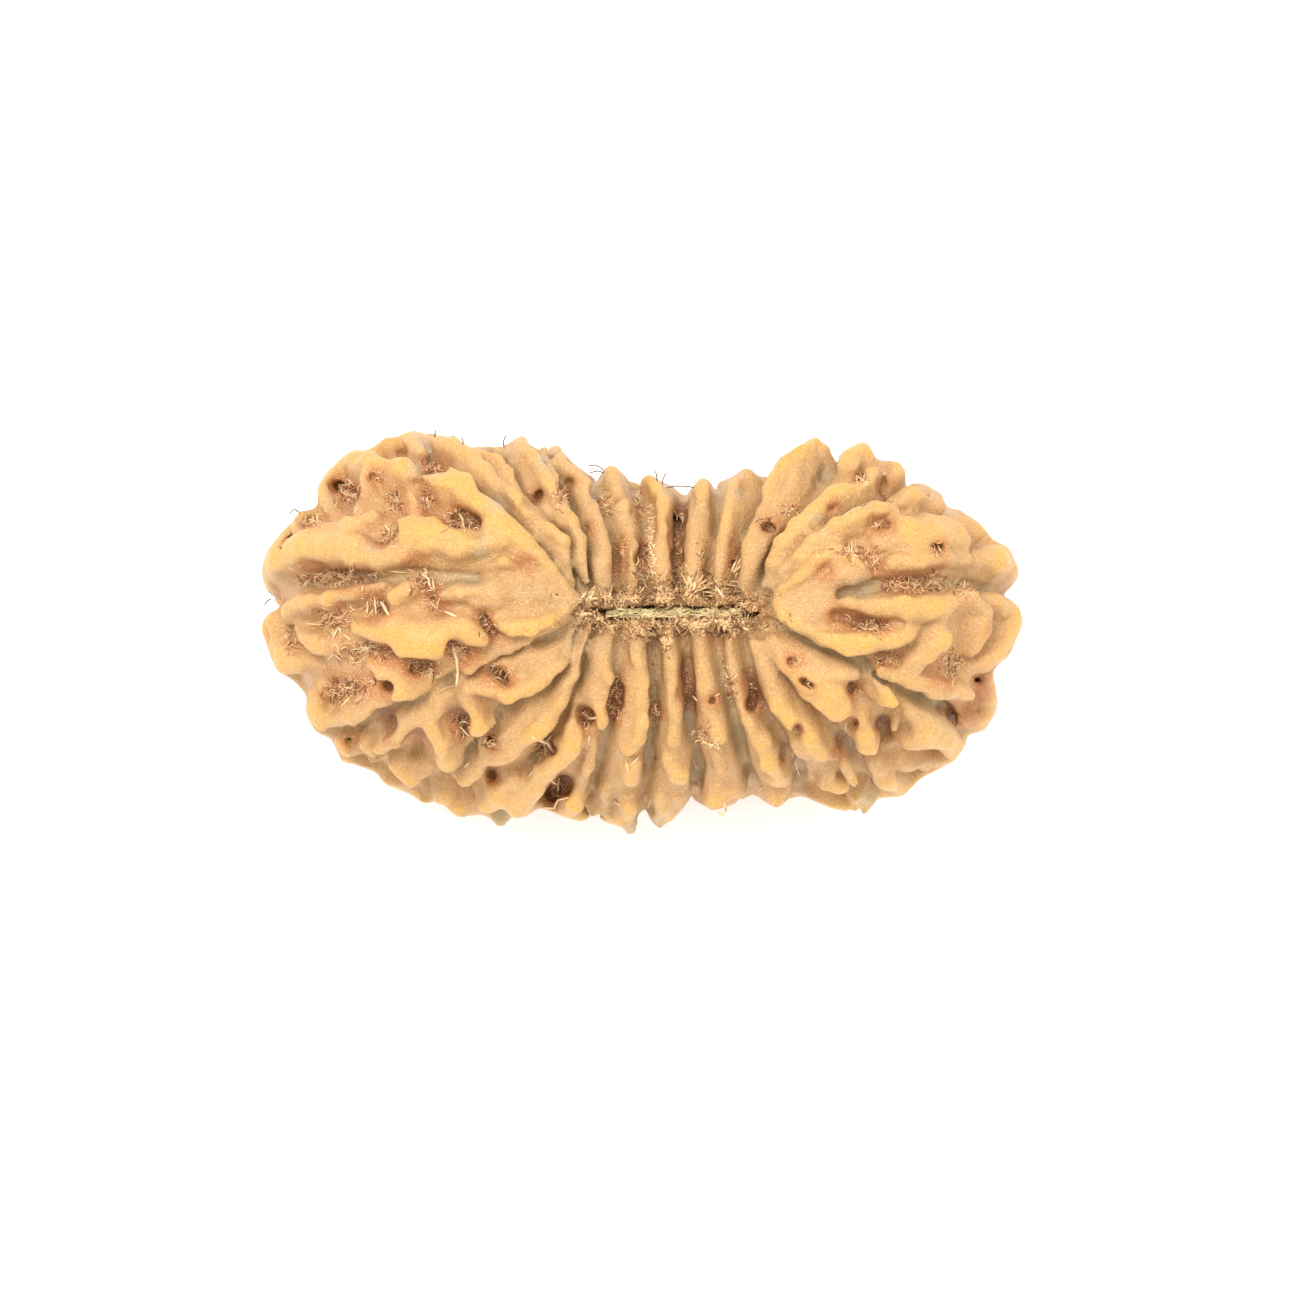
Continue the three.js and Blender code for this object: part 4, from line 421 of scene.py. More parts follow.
def under(p, w):
    """hidden lower side: w runs from the outline place p to the lower pole"""
    spine_x = spine_beside(p[0])
    side = math.hypot(p[0] - spine_x, p[1] - SPINE_Y)
    flat = np.array([p[0] - spine_x, p[1] - SPINE_Y, 0]) / side
    start = math.atan2(-p[2], side)
    turn = start + (math.radians(88) - start) * w
    spine = np.array([spine_x * (1 - w) + min(3, max(-3, p[0] * 0.2)) * w, SPINE_Y, 0])
    return outward(spine, flat * math.cos(turn) + np.array([0, 0, -math.sin(turn)]))


def line_on_stone(places):
    path = [lay(u, v, 0) for u, v in places]
    end = path[-1]
    path += [under(end, min(k * 0.08, 0.985)) for k in range(1, 13)]
    path = np.array(path)
    run = np.concatenate([[0], np.cumsum(np.linalg.norm(np.diff(path, axis=0), axis=1))])
    even = np.linspace(0, run[-1], BANDS + 1)
    return np.stack([np.interp(even, run, path[:, i]) for i in range(3)], -1)


def onto_stone(p):
    for _ in range(3):
        p = p - slope(p) * bare(p)
    return p


# Grid that the stone is carved in: SOLID is negative inside.
STEP = 0.2
LOW = np.array([-21.4, -11.2, -12.9])
HIGH = np.array([18.7, 10.9, 13.9])
AXES = [np.arange(LOW[i], HIGH[i], STEP, dtype=np.float32) for i in range(3)]
PLACE = np.stack(np.meshgrid(*AXES, indexing="ij"), -1)
HEIGHT = bare(PLACE)


# The outline that shows from above, read counter-clockwise from the upper left.
OUTLINE = [
    (-20.65, 2.2), (-20.5, 2.9), (-20.2, 3.5), (-19.5, 4.3), (-18.95, 4.8), (-18.6, 5.4), (-18.2, 5.3),
    (-17.65, 5.6), (-17.75, 6.5), (-17.4, 7.1), (-16.6, 7.9), (-16, 8.4), (-15.2, 8.35), (-14.3, 9.05),
    (-13.9, 9), (-12.9, 9.5), (-11.9, 9.15), (-11, 9.15), (-10.2, 8.4), (-8.2, 8.65), (-7.5, 9.2),
    (-6.9, 8.3), (-6.4, 8.65), (-5.75, 8.65), (-4.9, 7.6), (-3.9, 6.9), (-3, 7.65), (-2, 6.65),
    (-1.25, 7.2), (-.5, 6.7), (.1, 6.5), (.45, 6.3), (.7, 5.8), (.95, 6.3), (1.5, 7), (2.1, 6.6), (3.1, 7),
    (3.75, 7.5), (4.5, 6.85), (5.5, 8.05), (7.1, 9.05), (7.7, 8.75), (8.4, 8.15), (9.6, 8.85),
    (10.25, 7.75), (11.3, 7.85), (11.85, 6.65), (12.55, 6.65), (13.5, 6.1), (13.7, 5.4), (14.3, 5.45),
    (15.5, 4.6), (16, 3.9), (16.9, 3.5), (17.5, 2.05), (16.65, 1.15), (17.5, .3), (17.6, -.2), (16.9, -1.7),
    (16, -2.6), (16.3, -4.3), (15.7, -5.6), (14.65, -5.8), (14.8, -6.5), (14, -7.2), (12.4, -8), (11.5, -9),
    (10.3, -8.95), (9.7, -10), (8, -9.4), (6.2, -8.7), (5.25, -9.55), (4.1, -8.6), (3.05, -9.25),
    (2.05, -9.6), (1.1, -8.9), (.35, -9.7), (-.6, -10.7), (-1.5, -10.6), (-2.05, -11), (-2.8, -10.35),
    (-4.4, -10.3), (-5.3, -9.95), (-6.6, -9.4), (-7.3, -9.9), (-8.6, -10.7), (-9.5, -9.8), (-10.3, -10.05),
    (-11.6, -9.3), (-12.3, -9.5), (-12.75, -9), (-13.2, -8.7), (-14.3, -8.3), (-14.7, -7.7), (-16.6, -7.05),
    (-16.9, -6), (-17.8, -5.7), (-18.3, -4.7), (-18.1, -4), (-18.9, -3.1), (-19.8, -2.6), (-20.6, -.4),
    (-20.1, .7), (-20.05, 1.1), (-20.5, 1.6),
]
OUTLINE_CELL = 0.1
# what rounding its edges takes off the outline
OUTLINE_SPARE = 0.1
OUTLINE_ROUND = 0.3


def beyond_outline(u, v):
    """distance in the picture to the outline, negative inside, looked up in a small chart"""
    us = np.arange(-24, 21, OUTLINE_CELL)
    vs = np.arange(-15, 13, OUTLINE_CELL)
    chart = np.stack(np.meshgrid(us, vs, indexing="ij"), -1)
    square = np.full(chart.shape[:2], 1e9)
    inside = np.zeros(chart.shape[:2], bool)
    for a, b in zip(OUTLINE, OUTLINE[1:] + OUTLINE[:1]):
        a, b = np.array(a), np.array(b)
        square = np.minimum(square, share_along(chart, a, b)[1])
        if a[1] != b[1]:
            between = (chart[..., 1] < a[1]) != (chart[..., 1] < b[1])
            cross = a[0] + (chart[..., 1] - a[1]) / (b[1] - a[1]) * (b[0] - a[0])
            inside ^= between & (chart[..., 0] < cross)
    chart = np.where(inside, -1, 1) * np.sqrt(square)
    for axis in (0, 1):
        chart = sum(np.roll(chart, step, axis) for step in range(-2, 3)) / 5
    i = np.clip((u - us[0]) / OUTLINE_CELL, 0, len(us) - 2)
    j = np.clip((v - vs[0]) / OUTLINE_CELL, 0, len(vs) - 2)
    i0, j0 = i.astype(int), j.astype(int)
    fi, fj = i - i0, j - j0
    low = chart[i0, j0] * (1 - fi) + chart[i0 + 1, j0] * fi
    high = chart[i0, j0 + 1] * (1 - fi) + chart[i0 + 1, j0 + 1] * fi
    return (low * (1 - fj) + high * fj - OUTLINE_SPARE).astype(np.float32)


def shown_at(p):
    """u and v of places"""
    s = 1 - (p @ EYE.astype(p.dtype)) / EYE_FAR
    return p[..., 0] / s, (p @ UP.astype(p.dtype)) / s


def near(places, reach):
    """part of the grid around some places"""
    low = np.floor((np.min(places, 0) - reach - LOW) / STEP).astype(int)
    high = np.ceil((np.max(places, 0) + reach - LOW) / STEP).astype(int) + 1
    return tuple(slice(max(0, a), max(0, b)) for a, b in zip(low, high))


def share_along(p, a, b):
    ab = b - a
    ap = p - a
    w = np.clip(ap @ ab / max(float(ab @ ab), 1e-9), 0, 1)
    d = ap - w[..., None] * ab
    return w, (d * d).sum(-1)


# Each rib swells from the creases beside it; a wide rib swells less, its crests stand on it.
SWELL = 1.25
SWELL_REACH = 0.5
CREASE_FAR = 3.0


def creases_beside():
    """lateral distances to the nearest and the second nearest line between ribs"""
    first = np.full(HEIGHT.shape, CREASE_FAR, np.float32)
    second = first.copy()
    for line in lines:
        own = np.full(HEIGHT.shape, CREASE_FAR, np.float32)
        for a, b in zip(line.astype(np.float32), line[1:].astype(np.float32)):
            part = near([a, b], CREASE_FAR)
            w, square = share_along(PLACE[part], a, b)
            lateral = np.sqrt(np.maximum(square - HEIGHT[part] ** 2, 0))
            own[part] = np.minimum(own[part], lateral)
        second = np.minimum(second, np.maximum(first, own))
        first = np.minimum(first, own)
    return first, second


def swelling_ribs():
    width = np.clip((4.2 - FIRST - SECOND) / 2.2, 0.2, 1)
    return SWELL * width * (1 - np.exp(-FIRST / SWELL_REACH))


def blur(field, reach):
    """mean over a cube, reach grid steps to each side"""
    for axis in range(3):
        total = np.cumsum(np.pad(field, [(reach + 1, reach) if a == axis else (0, 0) for a in range(3)],
                                 mode="edge"), axis=axis, dtype=np.float64)
        ahead = np.take(total, range(2 * reach + 1, total.shape[axis]), axis=axis)
        behind = np.take(total, range(0, total.shape[axis] - 2 * reach - 1), axis=axis)
        field = ((ahead - behind) / (2 * reach + 1)).astype(np.float32)
    return field


GROWTH = np.random.default_rng(22)


def unevenness(reach):
    """smooth random field, about -2 to 2"""
    field = blur(blur(GROWTH.standard_normal(HEIGHT.shape, np.float32), reach), reach)
    return field / field.std()


lines = [line_on_stone(line) for line in LINES]
FIRST, SECOND = creases_beside()
SOLID = HEIGHT + VALLEY_DROP - swelling_ribs()
BEYOND = beyond_outline(*shown_at(PLACE))
FACING = sum(g * EYE[i] for i, g in enumerate(np.gradient(HEIGHT, STEP)))
RAGGED = unevenness(2)
CRUMBS = unevenness(1)
SOLID += 0.05 * unevenness(4) + 0.025 * RAGGED
for i in range(3):
    PLACE[..., i] += 0.09 * unevenness(3) + 0.035 * unevenness(1)


# The fill at the rim: its height, then what a crease, a place inside the outline and a hidden place
# take off that height.
RIM_TOP = 2.0
RIM_CREASE = 2.5
RIM_INNER = 1.8
RIM_HIDDEN = 3.2
RIM_ROUND = 1.1


def fill_to_outline():
    """the ribs' cross-section where the stone turns away from the eye"""
    band = np.maximum(FACING - 0.05, -0.4 - FACING) * 4
    hidden = np.clip((-FACING - 0.12) / 0.26, 0, 1)
    inner = np.clip((-BEYOND - 0.6) / 0.7, 0, 1)
    top = RIM_TOP - RIM_CREASE * np.exp(-FIRST / 0.5) - RIM_INNER * inner - RIM_HIDDEN * hidden
    rim = -soften(-np.maximum(BEYOND, band), top - HEIGHT, RIM_ROUND)
    SOLID[:] = soften(SOLID, rim, OUTLINE_ROUND)


def trim_to_outline():
    SOLID[:] = -soften(-SOLID, -BEYOND, OUTLINE_ROUND)


def stretches(places, radii):
    """the straight stretches of a stroke; a single place is a stretch of no length"""
    places = [np.asarray(p, np.float32) for p in places]
    if len(places) == 1:
        places, radii = places * 2, list(radii) * 2
    return zip(places, places[1:], radii, radii[1:])


def raise_ridge(places, radii):
    """a crest with a round top and walls that flare a little toward their foot"""
    for a, b, ra, rb in stretches(places, radii):
        part = near([a, b], max(ra, rb) + 1.4)
        w, square = share_along(PLACE[part], a, b)
        full = ra * (1 - w) + rb * w
        radius = CREST_SHARE * full
        middle = float(bare(a)) * (1 - w) + float(bare(b)) * w
        gap = HEIGHT[part] - middle - (full - radius)
        beside = np.maximum(square - (gap + full - radius) ** 2, 0)
        wall = np.sqrt(beside) - radius + FOOT * gap
        crown = np.sqrt(beside + gap * gap) - radius
        SOLID[part] = soften(SOLID[part], np.where(gap > 0, crown, wall), RIDGE_BLEND)


WELL_TALL = 2.5


def sink_well(places, radii, way):
    """a ragged hollow that is open in one way and widens toward its mouth"""
    way = np.asarray(way, np.float32)
    for a, b, ra, rb in stretches(places, radii):
        part = near([a, b, a + WELL_TALL * way, b + WELL_TALL * way], max(ra, rb) * 1.6 + 0.5)
        p = PLACE[part]
        h = np.maximum((p - a) @ way, 0)
        w, square = share_along(p - h[..., None] * way, a, b)
        radius = (ra * (1 - w) + rb * w) * (0.85 + 0.16 * RAGGED[part]) + 0.12 * np.minimum(h, 3)
        SOLID[part] = -soften(-SOLID[part], np.sqrt(square) - radius, 0.2)


# how much higher the crests of the rim stand, and how far turned from the eye that starts and ends
RIM_LIFT = 0.4
RIM_TURN = (0.45, 0.15)
# the teeth of the front rim are this much fuller
TOOTH_FRONT = -8.3
TOOTH_GROWTH = 1.35


def pointed(crest):
    """runs a crest out to a blunt point"""
    if len(crest) < 3:
        return crest
    (u0, v0, c0, r0), (u, v, c, r) = crest[-2:]
    far = 0.75 * r / max(0.3, math.hypot(u - u0, v - v0))
    return crest + [(u + (u - u0) * far, v + (v - v0) * far, c + 0.15 * r, 0.35 * r)]


def standing(u, v, c):
    """crests stand a little higher where the stone turns away from the eye"""
    p = lay(u, v, c)
    start, end = RIM_TURN
    turned = min(1, max(0, (start - float(slope(p) @ EYE)) / (start - end)))
    return lay(u, v, c + RIM_LIFT * turned)


def raise_seen_ribs():
    for rib in CRESTS.values():
        for crest in rib:
            crest = pointed(crest)
            radii = [r * (TOOTH_GROWTH if v < TOOTH_FRONT else 1) for u, v, c, r in crest]
            raise_ridge([standing(u, v, c) for u, v, c, r in crest], radii)


# The hidden sides are guessed: the crests run on between the lines to the lower pole, waving a
# little, with knobs to either side and now and then a well. CHANCE is the same at every run.
CHANCE = [22]


def chance():
    CHANCE[0] = CHANCE[0] * 16807 % 2147483647
    return CHANCE[0] / 2147483647


HIDDEN_RISE = 1.25
HIDDEN_RADII = (0.32, 1.15)
HIDDEN_SHADE = -0.06
KNOB_ODDS, KNOB_WIDTH, KNOB_RADIUS = 0.7, 1.4, 0.5
WELL_ODDS, WELL_WIDTH, HIDDEN_WELL = 0.2, 1.6, 0.3
hidden_wells = []


def raise_hidden_crest(line, following, share, crests):
    wave = chance() * 6
    last = BANDS - 3 - 3 * math.floor(3 * chance())
    tops, radii = [], []
    for band in range(4, last + 1, 2):
        p = onto_stone(line[band] * (1 - share) + following[band] * share)
        n = slope(p)
        facing = n @ EYE
        if facing > HIDDEN_SHADE:
            continue
        across = following[band] - line[band]
        length = np.linalg.norm(across)
        width = length / crests
        side = across / length
        low, high = HIDDEN_RADII
        radius = min(high, max(low, width * 0.4)) * (0.85 + 0.3 * chance())
        sway = math.sin(wave + band * 0.9) * width * 0.1
        rise = HIDDEN_RISE * min(1, 0.45 - facing * 1.5)
        top = p + side * sway + n * (rise - radius)
        tops.append(top)
        radii.append(radius)
        turn = -1 if chance() < 0.5 else 1
        if width > KNOB_WIDTH and chance() < KNOB_ODDS:
            knob = p + side * (sway + turn * width * 0.24) + n * (rise - KNOB_RADIUS)
            raise_ridge([top, knob], [radius * 0.8, KNOB_RADIUS + 0.2 * chance()])
        if width > WELL_WIDTH and chance() < WELL_ODDS:
            hidden_wells.append((p - side * turn * width * 0.4 - n * 0.1, n))
    if len(tops) > 1:
        raise_ridge(tops, radii)


def raise_hidden_ribs():
    middle = round(BANDS * 0.6 + 1e-6)
    for line, following in zip(lines, lines[1:] + lines[:1]):
        width = np.linalg.norm(following[middle] - line[middle])
        crests = max(1, math.floor(width / 3 + 0.5))
        for k in range(crests):
            raise_hidden_crest(line, following, (k + 0.5) / crests, crests)


# The slit of the upper pole: a narrow trench with a rough floor.
SLIT_HALF_LENGTH = 4.5
SLIT_HALF_WIDTH = 0.34
SLIT_MIDDLE = 0.27
SLIT_DEPTH = 1.5
SLIT_BOX = [(-5.3, -2.4, 6), (5.3, 1.6, 13)]
SLIT_CRUMBLE = 0.1
CREASE_SCORE, CREASE_WIDTH = 0.22, 0.28


def cut_slit():
    part = near(SLIT_BOX, 0.5)
    p = PLACE[part]
    u, v = shown_at(p)
    half = SLIT_HALF_WIDTH * np.sqrt(np.clip(1 - np.abs(u / SLIT_HALF_LENGTH) ** 3, 0, 1))
    side = np.maximum(np.abs(v - SLIT_MIDDLE) - half, np.abs(u) - SLIT_HALF_LENGTH)
    trench = np.maximum(side, -(HEIGHT[part] + SLIT_DEPTH))
    SOLID[part] = -soften(-SOLID[part], trench, 0.2)


def roughen_slit():
    """the torn felt along the slit leaves the stone crumbly there"""
    part = near(SLIT_BOX, 0.5)
    u, v = shown_at(PLACE[part])
    torn = np.clip(1.6 - np.hypot(np.maximum(np.abs(u) - 4, 0), v - 0.1), 0, 1)
    SOLID[part] += torn * (SLIT_CRUMBLE * RAGGED[part] + SLIT_CRUMBLE * CRUMBS[part] - SLIT_CRUMBLE)


def score_creases():
    SOLID[:] += CREASE_SCORE * np.exp(-(FIRST / CREASE_WIDTH) ** 2)


# wells reach this much deeper than the middles read for them
WELL_SINK = 0.25

raise_seen_ribs()
raise_hidden_ribs()
fill_to_outline()
score_creases()
roughen_slit()
for well in WELLS:
    sink_well([lay(u, v, c - WELL_SINK) for u, v, c, r in well], [r for u, v, c, r in well], EYE)
for p, n in hidden_wells:
    sink_well([p], [HIDDEN_WELL], n)
cut_slit()
trim_to_outline()
SOLID[:] = np.maximum(SOLID, -(PLACE[..., 2] + MOVE[2]))


def at(field, p):
    """value of a grid field at any place"""
    q = (p - LOW) / STEP
    i = np.clip(np.floor(q).astype(int), 0, np.array(field.shape) - 2)
    f = q - i
    value = 0
    for corner in np.ndindex(2, 2, 2):
        c = np.array(corner)
        weight = np.prod(np.where(c, f, 1 - f), -1)
        value = value + weight * field[tuple(np.moveaxis(i + c, -1, 0))]
    return value


def largest_shell(points, quads):
    """drops loose crumbs: keeps the one closed shell with the most faces"""
    label = np.arange(len(points))
    while True:
        low = label[quads].min(1)
        fresh = label.copy()
        for k in range(4):
            np.minimum.at(fresh, quads[:, k], low)
        fresh = fresh[fresh]
        if (fresh == label).all():
            break
        label = fresh
    names, counts = np.unique(label[quads[:, 0]], return_counts=True)
    keep = label[quads[:, 0]] == names[counts.argmax()]
    used, back = np.unique(quads[keep], return_inverse=True)
    return points[used], back.reshape(-1, 4)


def stone_surface():
    solid = openvdb.FloatGrid(1.0)
    solid.copyFromArray(np.clip(SOLID, -1, 1))
    points, quads = solid.convertToQuads(isovalue=0.0)
    points = points * STEP + LOW
    points[:, 2] = np.maximum(points[:, 2], -MOVE[2])
    return largest_shell(points, quads.astype(int))


def surface_depth(u, v):
    """depth toward the eye of the carved surface that shows at each u, v"""
    depths = []
    for start in range(0, len(u), 1000):
        s = 1 - DEPTHS / EYE_FAR
        a, b = u[start:start + 1000, None] * s, v[start:start + 1000, None] * s
        carved = at(SOLID, a[..., None] * np.array([1.0, 0, 0]) + b[..., None] * UP + DEPTHS[:, None] * EYE)
        inside = carved <= 0
        found = np.where(inside.any(1), inside.argmax(1), carved.argmin(1))
        depths.append(DEPTHS[found])
    return np.concatenate(depths)


# how many triangles the stone keeps once thinned; under the 200,000 past which the
# stone's own file would be thinned
STONE_TRIANGLES = 190000


def thinned(whole):
    """fewer faces where the surface is nearly flat"""
    body = put("whole stone", whole)
    thin = body.modifiers.new("thin", "DECIMATE")
    thin.ratio = STONE_TRIANGLES / (2 * len(whole.polygons))
    worked = body.evaluated_get(bpy.context.evaluated_depsgraph_get())
    lighter = bpy.data.meshes.new_from_object(worked)
    bpy.data.objects.remove(body)
    return lighter


points, quads = stone_surface()
whole = bpy.data.meshes.new("whole stone")
whole.from_pydata((points + MOVE).tolist(), [], quads.tolist())
mesh = thinned(whole)
points = np.empty(3 * len(mesh.vertices), np.float32)
mesh.vertices.foreach_get("co", points)
points = points.reshape(-1, 3) - MOVE
mesh.name = "seed stone"
mesh.transform(Matrix.Scale(0.001, 4))
mesh.shade_smooth()
stone = put("stone", mesh)


def paint(name, values):
    """a value per vertex that the finish reads"""
    kind = "FLOAT" if values.ndim == 1 else "FLOAT_VECTOR"
    field = mesh.attributes.new(name, kind, "POINT")
    field.data.foreach_set("value" if values.ndim == 1 else "vector", values.astype(np.float32).ravel())


def away_from_path(p, path):
    """distance from places to a broken line"""
    best = np.full(len(p), 1e9)
    for a, b in zip(path, path[1:]):
        best = np.minimum(best, share_along(p, np.asarray(a), np.asarray(b))[1])
    return np.sqrt(best)


height = bare(points)
# fold and bulk: how hollow or outstanding a place lies, over a short and a longer reach. The finish uses them
# to paint shade into hollows and highlight onto outstanding places.
fold = at(blur(SOLID, 2), points)
bulk = at(blur(SOLID, 6), points)
paint("height", height)
paint("crease", np.exp(-at(FIRST, points) / 0.3))
paint("fold", fold)
paint("bulk", bulk)
# grain runs from the slit to the lower pole: two numbers across it and one along it
spine_x = spine_beside(points[:, 0])
around = points - np.stack([spine_x, np.full(len(points), SPINE_Y), np.zeros(len(points))], -1)
flat = np.linalg.norm(around[:, :2], axis=1) + 1e-6
run = np.arctan2(flat, around[:, 2]) * 10
paint("grain", np.stack([spine_x + 6 * around[:, 0] / flat, 6 * around[:, 1] / flat, run], -1))
u, v = shown_at(points)
well_near = np.full(len(points), 9.0)
for well in WELLS:
    places = [lay(a, b, c) for a, b, c, r in well]
    reach = max(r for a, b, c, r in well)
    d = away_from_path(points, places if len(places) > 1 else places * 2) - reach
    well_near = np.minimum(well_near, d)
for p, _ in hidden_wells:
    well_near = np.minimum(well_near, 1.6 * np.linalg.norm(points - p, axis=1) - 0.3)
paint("well", np.clip(1 - well_near / 0.7, 0, 1))
slit_near = np.hypot(np.maximum(np.abs(u) - 3.4, 0) * 1.8, v - 0.2)
slit_near = np.where(points[:, 2] > 4, slit_near, 99)
paint("slit", np.clip(1 - slit_near / 2.9, 0, 1))
# Greyer places of the skin: middle (u, v) and reach.
GREY_PLACES = [
    (-12.6, 7.4, .8), (-12.3, 5.9, .6), (-15, 3.5, .5), (-9.6, 3.2, .6), (-7.4, 2.65, .45), (-8.7, 5.7, .9),
    (-6.5, 7.7, .6), (7.7, 7.3, .7), (-10, 1.8, .5), (9.5, 1.5, .7), (7.2, 4.9, .5), (-9.4, 3.9, .4),
    (3.2, 6.2, .4), (10.5, 2.1, .35),
]
grey = np.zeros(len(points))
for a, b, reach in GREY_PLACES:
    grey = np.maximum(grey, 1 - np.hypot(u - a, v - b) / reach)
paint("grey", np.where(points[:, 2] > 0, grey, 0))


class Value:
    """a number or colour inside a finish, worked with Python's own signs"""

    def __init__(self, finish, socket):
        self.finish, self.socket = finish, socket

    def math(self, kind, a, b):
        return self.finish.node("ShaderNodeMath", {"operation": kind}, {0: a, 1: b}).out()

    def __add__(self, other):
        return self.math("ADD", self, other)

    def __sub__(self, other):
        return self.math("SUBTRACT", self, other)

    def __rsub__(self, other):
        return self.math("SUBTRACT", other, self)

    def __mul__(self, other):
        return self.math("MULTIPLY", self, other)

    __radd__, __rmul__ = __add__, __mul__


class Node:
    def __init__(self, finish, node):
        self.finish, self.node = finish, node

    def out(self, name=0):
        return Value(self.finish, self.node.outputs[name])


class Finish:
    """a material built as expressions"""

    def __init__(self, name):
        self.material = bpy.data.materials.new(name)
        self.material.use_nodes = True
        self.tree = self.material.node_tree
        self.shader = self.tree.nodes["Principled BSDF"]

    def node(self, kind, settings, inputs):
        node = self.tree.nodes.new(kind)
        for name, value in settings.items():
            setattr(node, name, value)
        for name, value in inputs.items():
            self.feed(node.inputs[name], value)
        return Node(self, node)

    def feed(self, socket, value):
        if isinstance(value, Value):
            self.tree.links.new(value.socket, socket)
        else:
            socket.default_value = value

    def field(self, name, part="Fac"):
        return self.node("ShaderNodeAttribute", {"attribute_name": name}, {}).out(part)

    def ramp(self, value, low, high):
        """0 below low, 1 above high, smooth between"""
        inputs = {"Value": value, "From Min": low, "From Max": high}
        return self.node("ShaderNodeMapRange", {"interpolation_type": "SMOOTHSTEP"}, inputs).out("Result")

    def mix(self, share, a, b, kind="MIX"):
        node = self.node("ShaderNodeMix", {"data_type": "RGBA", "blend_type": kind}, {})
        for index, value in zip((0, 6, 7), (share, a, b)):
            self.feed(node.node.inputs[index], value)
        return Value(self, node.node.outputs[2])

    def grain(self, where, scale, detail=2.0, rough=0.5):
        inputs = {"Vector": where, "Scale": scale, "Detail": detail, "Roughness": rough}
        return self.node("ShaderNodeTexNoise", {}, inputs).out("Fac")

    def stretch(self, vector, scale):
        inputs = {"Vector": vector, "Scale": scale}
        return self.node("ShaderNodeMapping", {"vector_type": "POINT"}, inputs).out()


def colour(r, g, b):
    """a colour read as 0-255 screen values"""
    lin = [(c / 255 / 12.92 if c <= 10 else ((c / 255 + 0.055) / 1.055) ** 2.4) for c in (r, g, b)]
    return (*lin, 1.0)


SIDE = colour(225, 178, 119)
# partly the ribs' own paler crests, partly painted highlight on high, outstanding places
CREST_AND_HIGHLIGHT = colour(249, 194, 100)
ROSY = colour(238, 186, 130)
TAN = colour(216, 162, 106)
# painted shade: the darker, warmer tone laid into hollows
VALLEY_SHADE = colour(199, 160, 110)
THREAD = colour(200, 182, 144)
GREY = colour(204, 188, 156)
WELL_RIM = colour(210, 136, 80)
# partly the dark lining of the wells, partly painted shade deep in them
WELL_LINING_AND_SHADE = colour(110, 60, 28)
FELTED = colour(166, 118, 74)
STREAK = colour(160, 108, 70)
PALE_GRAIN = colour(255, 230, 180)
DARK_GRAIN = colour(172, 120, 74)
# taken off every tint, so that the lamps bring the stone to the photo's brightness
STONE_SHADE = (0.655, 0.625, 0.585, 1)


def stone_finish():
    finish = Finish("seed stone")
    where = finish.node("ShaderNodeTexCoord", {}, {}).out("Object")
    grain = finish.field("grain", "Vector")
    height, fold, bulk = finish.field("height"), finish.field("fold"), finish.field("bulk")
    well, slit, grey = finish.field("well"), finish.field("slit"), finish.field("grey")
    crease = finish.field("crease")
    patches = finish.grain(where, 220.0, 3.0, 0.6)
    mottle = finish.grain(where, 1300.0, 3.0, 0.6)
    speckle = finish.grain(where, 9000.0, 2.0, 0.7)
    fibres = finish.grain(finish.stretch(grain, (3.2, 3.2, 0.5)), 1.0, 3.0, 0.65)

    # high, outstanding places turn paler and more golden: partly the crests' own colour, partly painted
    # highlight
    crest = finish.ramp(height + patches * 0.8 + bulk * 0.9, 0.8, 1.9)
    tone = finish.mix(crest, SIDE, CREST_AND_HIGHLIGHT)
    tone = finish.mix(finish.ramp(patches, 0.42, 0.7) * 0.5, tone, ROSY)
    tone = finish.mix(finish.ramp(mottle, 0.5, 0.7) * 0.25, tone, TAN)
    # painted shade: hollow places, found by fold, darken toward the valley shade colour
    valley = finish.ramp(0.0 - fold, 0.03, 0.2)
    tone = finish.mix(valley * 0.6, tone, VALLEY_SHADE)
    tone = finish.mix(crease * finish.ramp(patches, 0.32, 0.6) * 0.75, tone, THREAD)
    tone = finish.mix(grey * 0.8, tone, GREY)
    tone = finish.mix(finish.ramp(well, 0.1, 0.9) * 0.7, tone, WELL_RIM)
    # wells darken the deeper the hollow: partly their own dark lining, partly painted shade
    tone = finish.mix(finish.ramp(0.0 - bulk, 0.05, 0.4) * well * 0.85, tone, WELL_LINING_AND_SHADE)
    tone = finish.mix(finish.ramp(slit, 0.1, 0.9) * 0.65, tone, FELTED)
    tone = finish.mix((fibres - 0.5) * 0.3 + 0.05, tone, STREAK)
    tone = finish.mix(finish.ramp(speckle, 0.52, 0.72) * 0.6, tone, PALE_GRAIN)
    tone = finish.mix(finish.ramp(speckle, 0.48, 0.3) * 0.35, tone, DARK_GRAIN)
    tone = finish.mix(1.0, tone, STONE_SHADE, "MULTIPLY")

    finish.feed(finish.shader.inputs["Base Color"], tone)
    finish.feed(finish.shader.inputs["Roughness"], 0.62 - crest * 0.14 + (speckle - 0.5) * 0.2)
    finish.shader.inputs["Specular IOR Level"].default_value = 0.35
    rough = fibres * 0.8 + finish.grain(where, 1500.0, 4.0, 0.6) + speckle * 0.4
    bump = finish.node("ShaderNodeBump", {}, {"Strength": 0.7, "Distance": 0.00012, "Height": rough}).out()
    finish.feed(finish.shader.inputs["Normal"], bump)
    return finish.material


mesh.materials.append(stone_finish())
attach(stone, "root")
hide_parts("seed_stone")

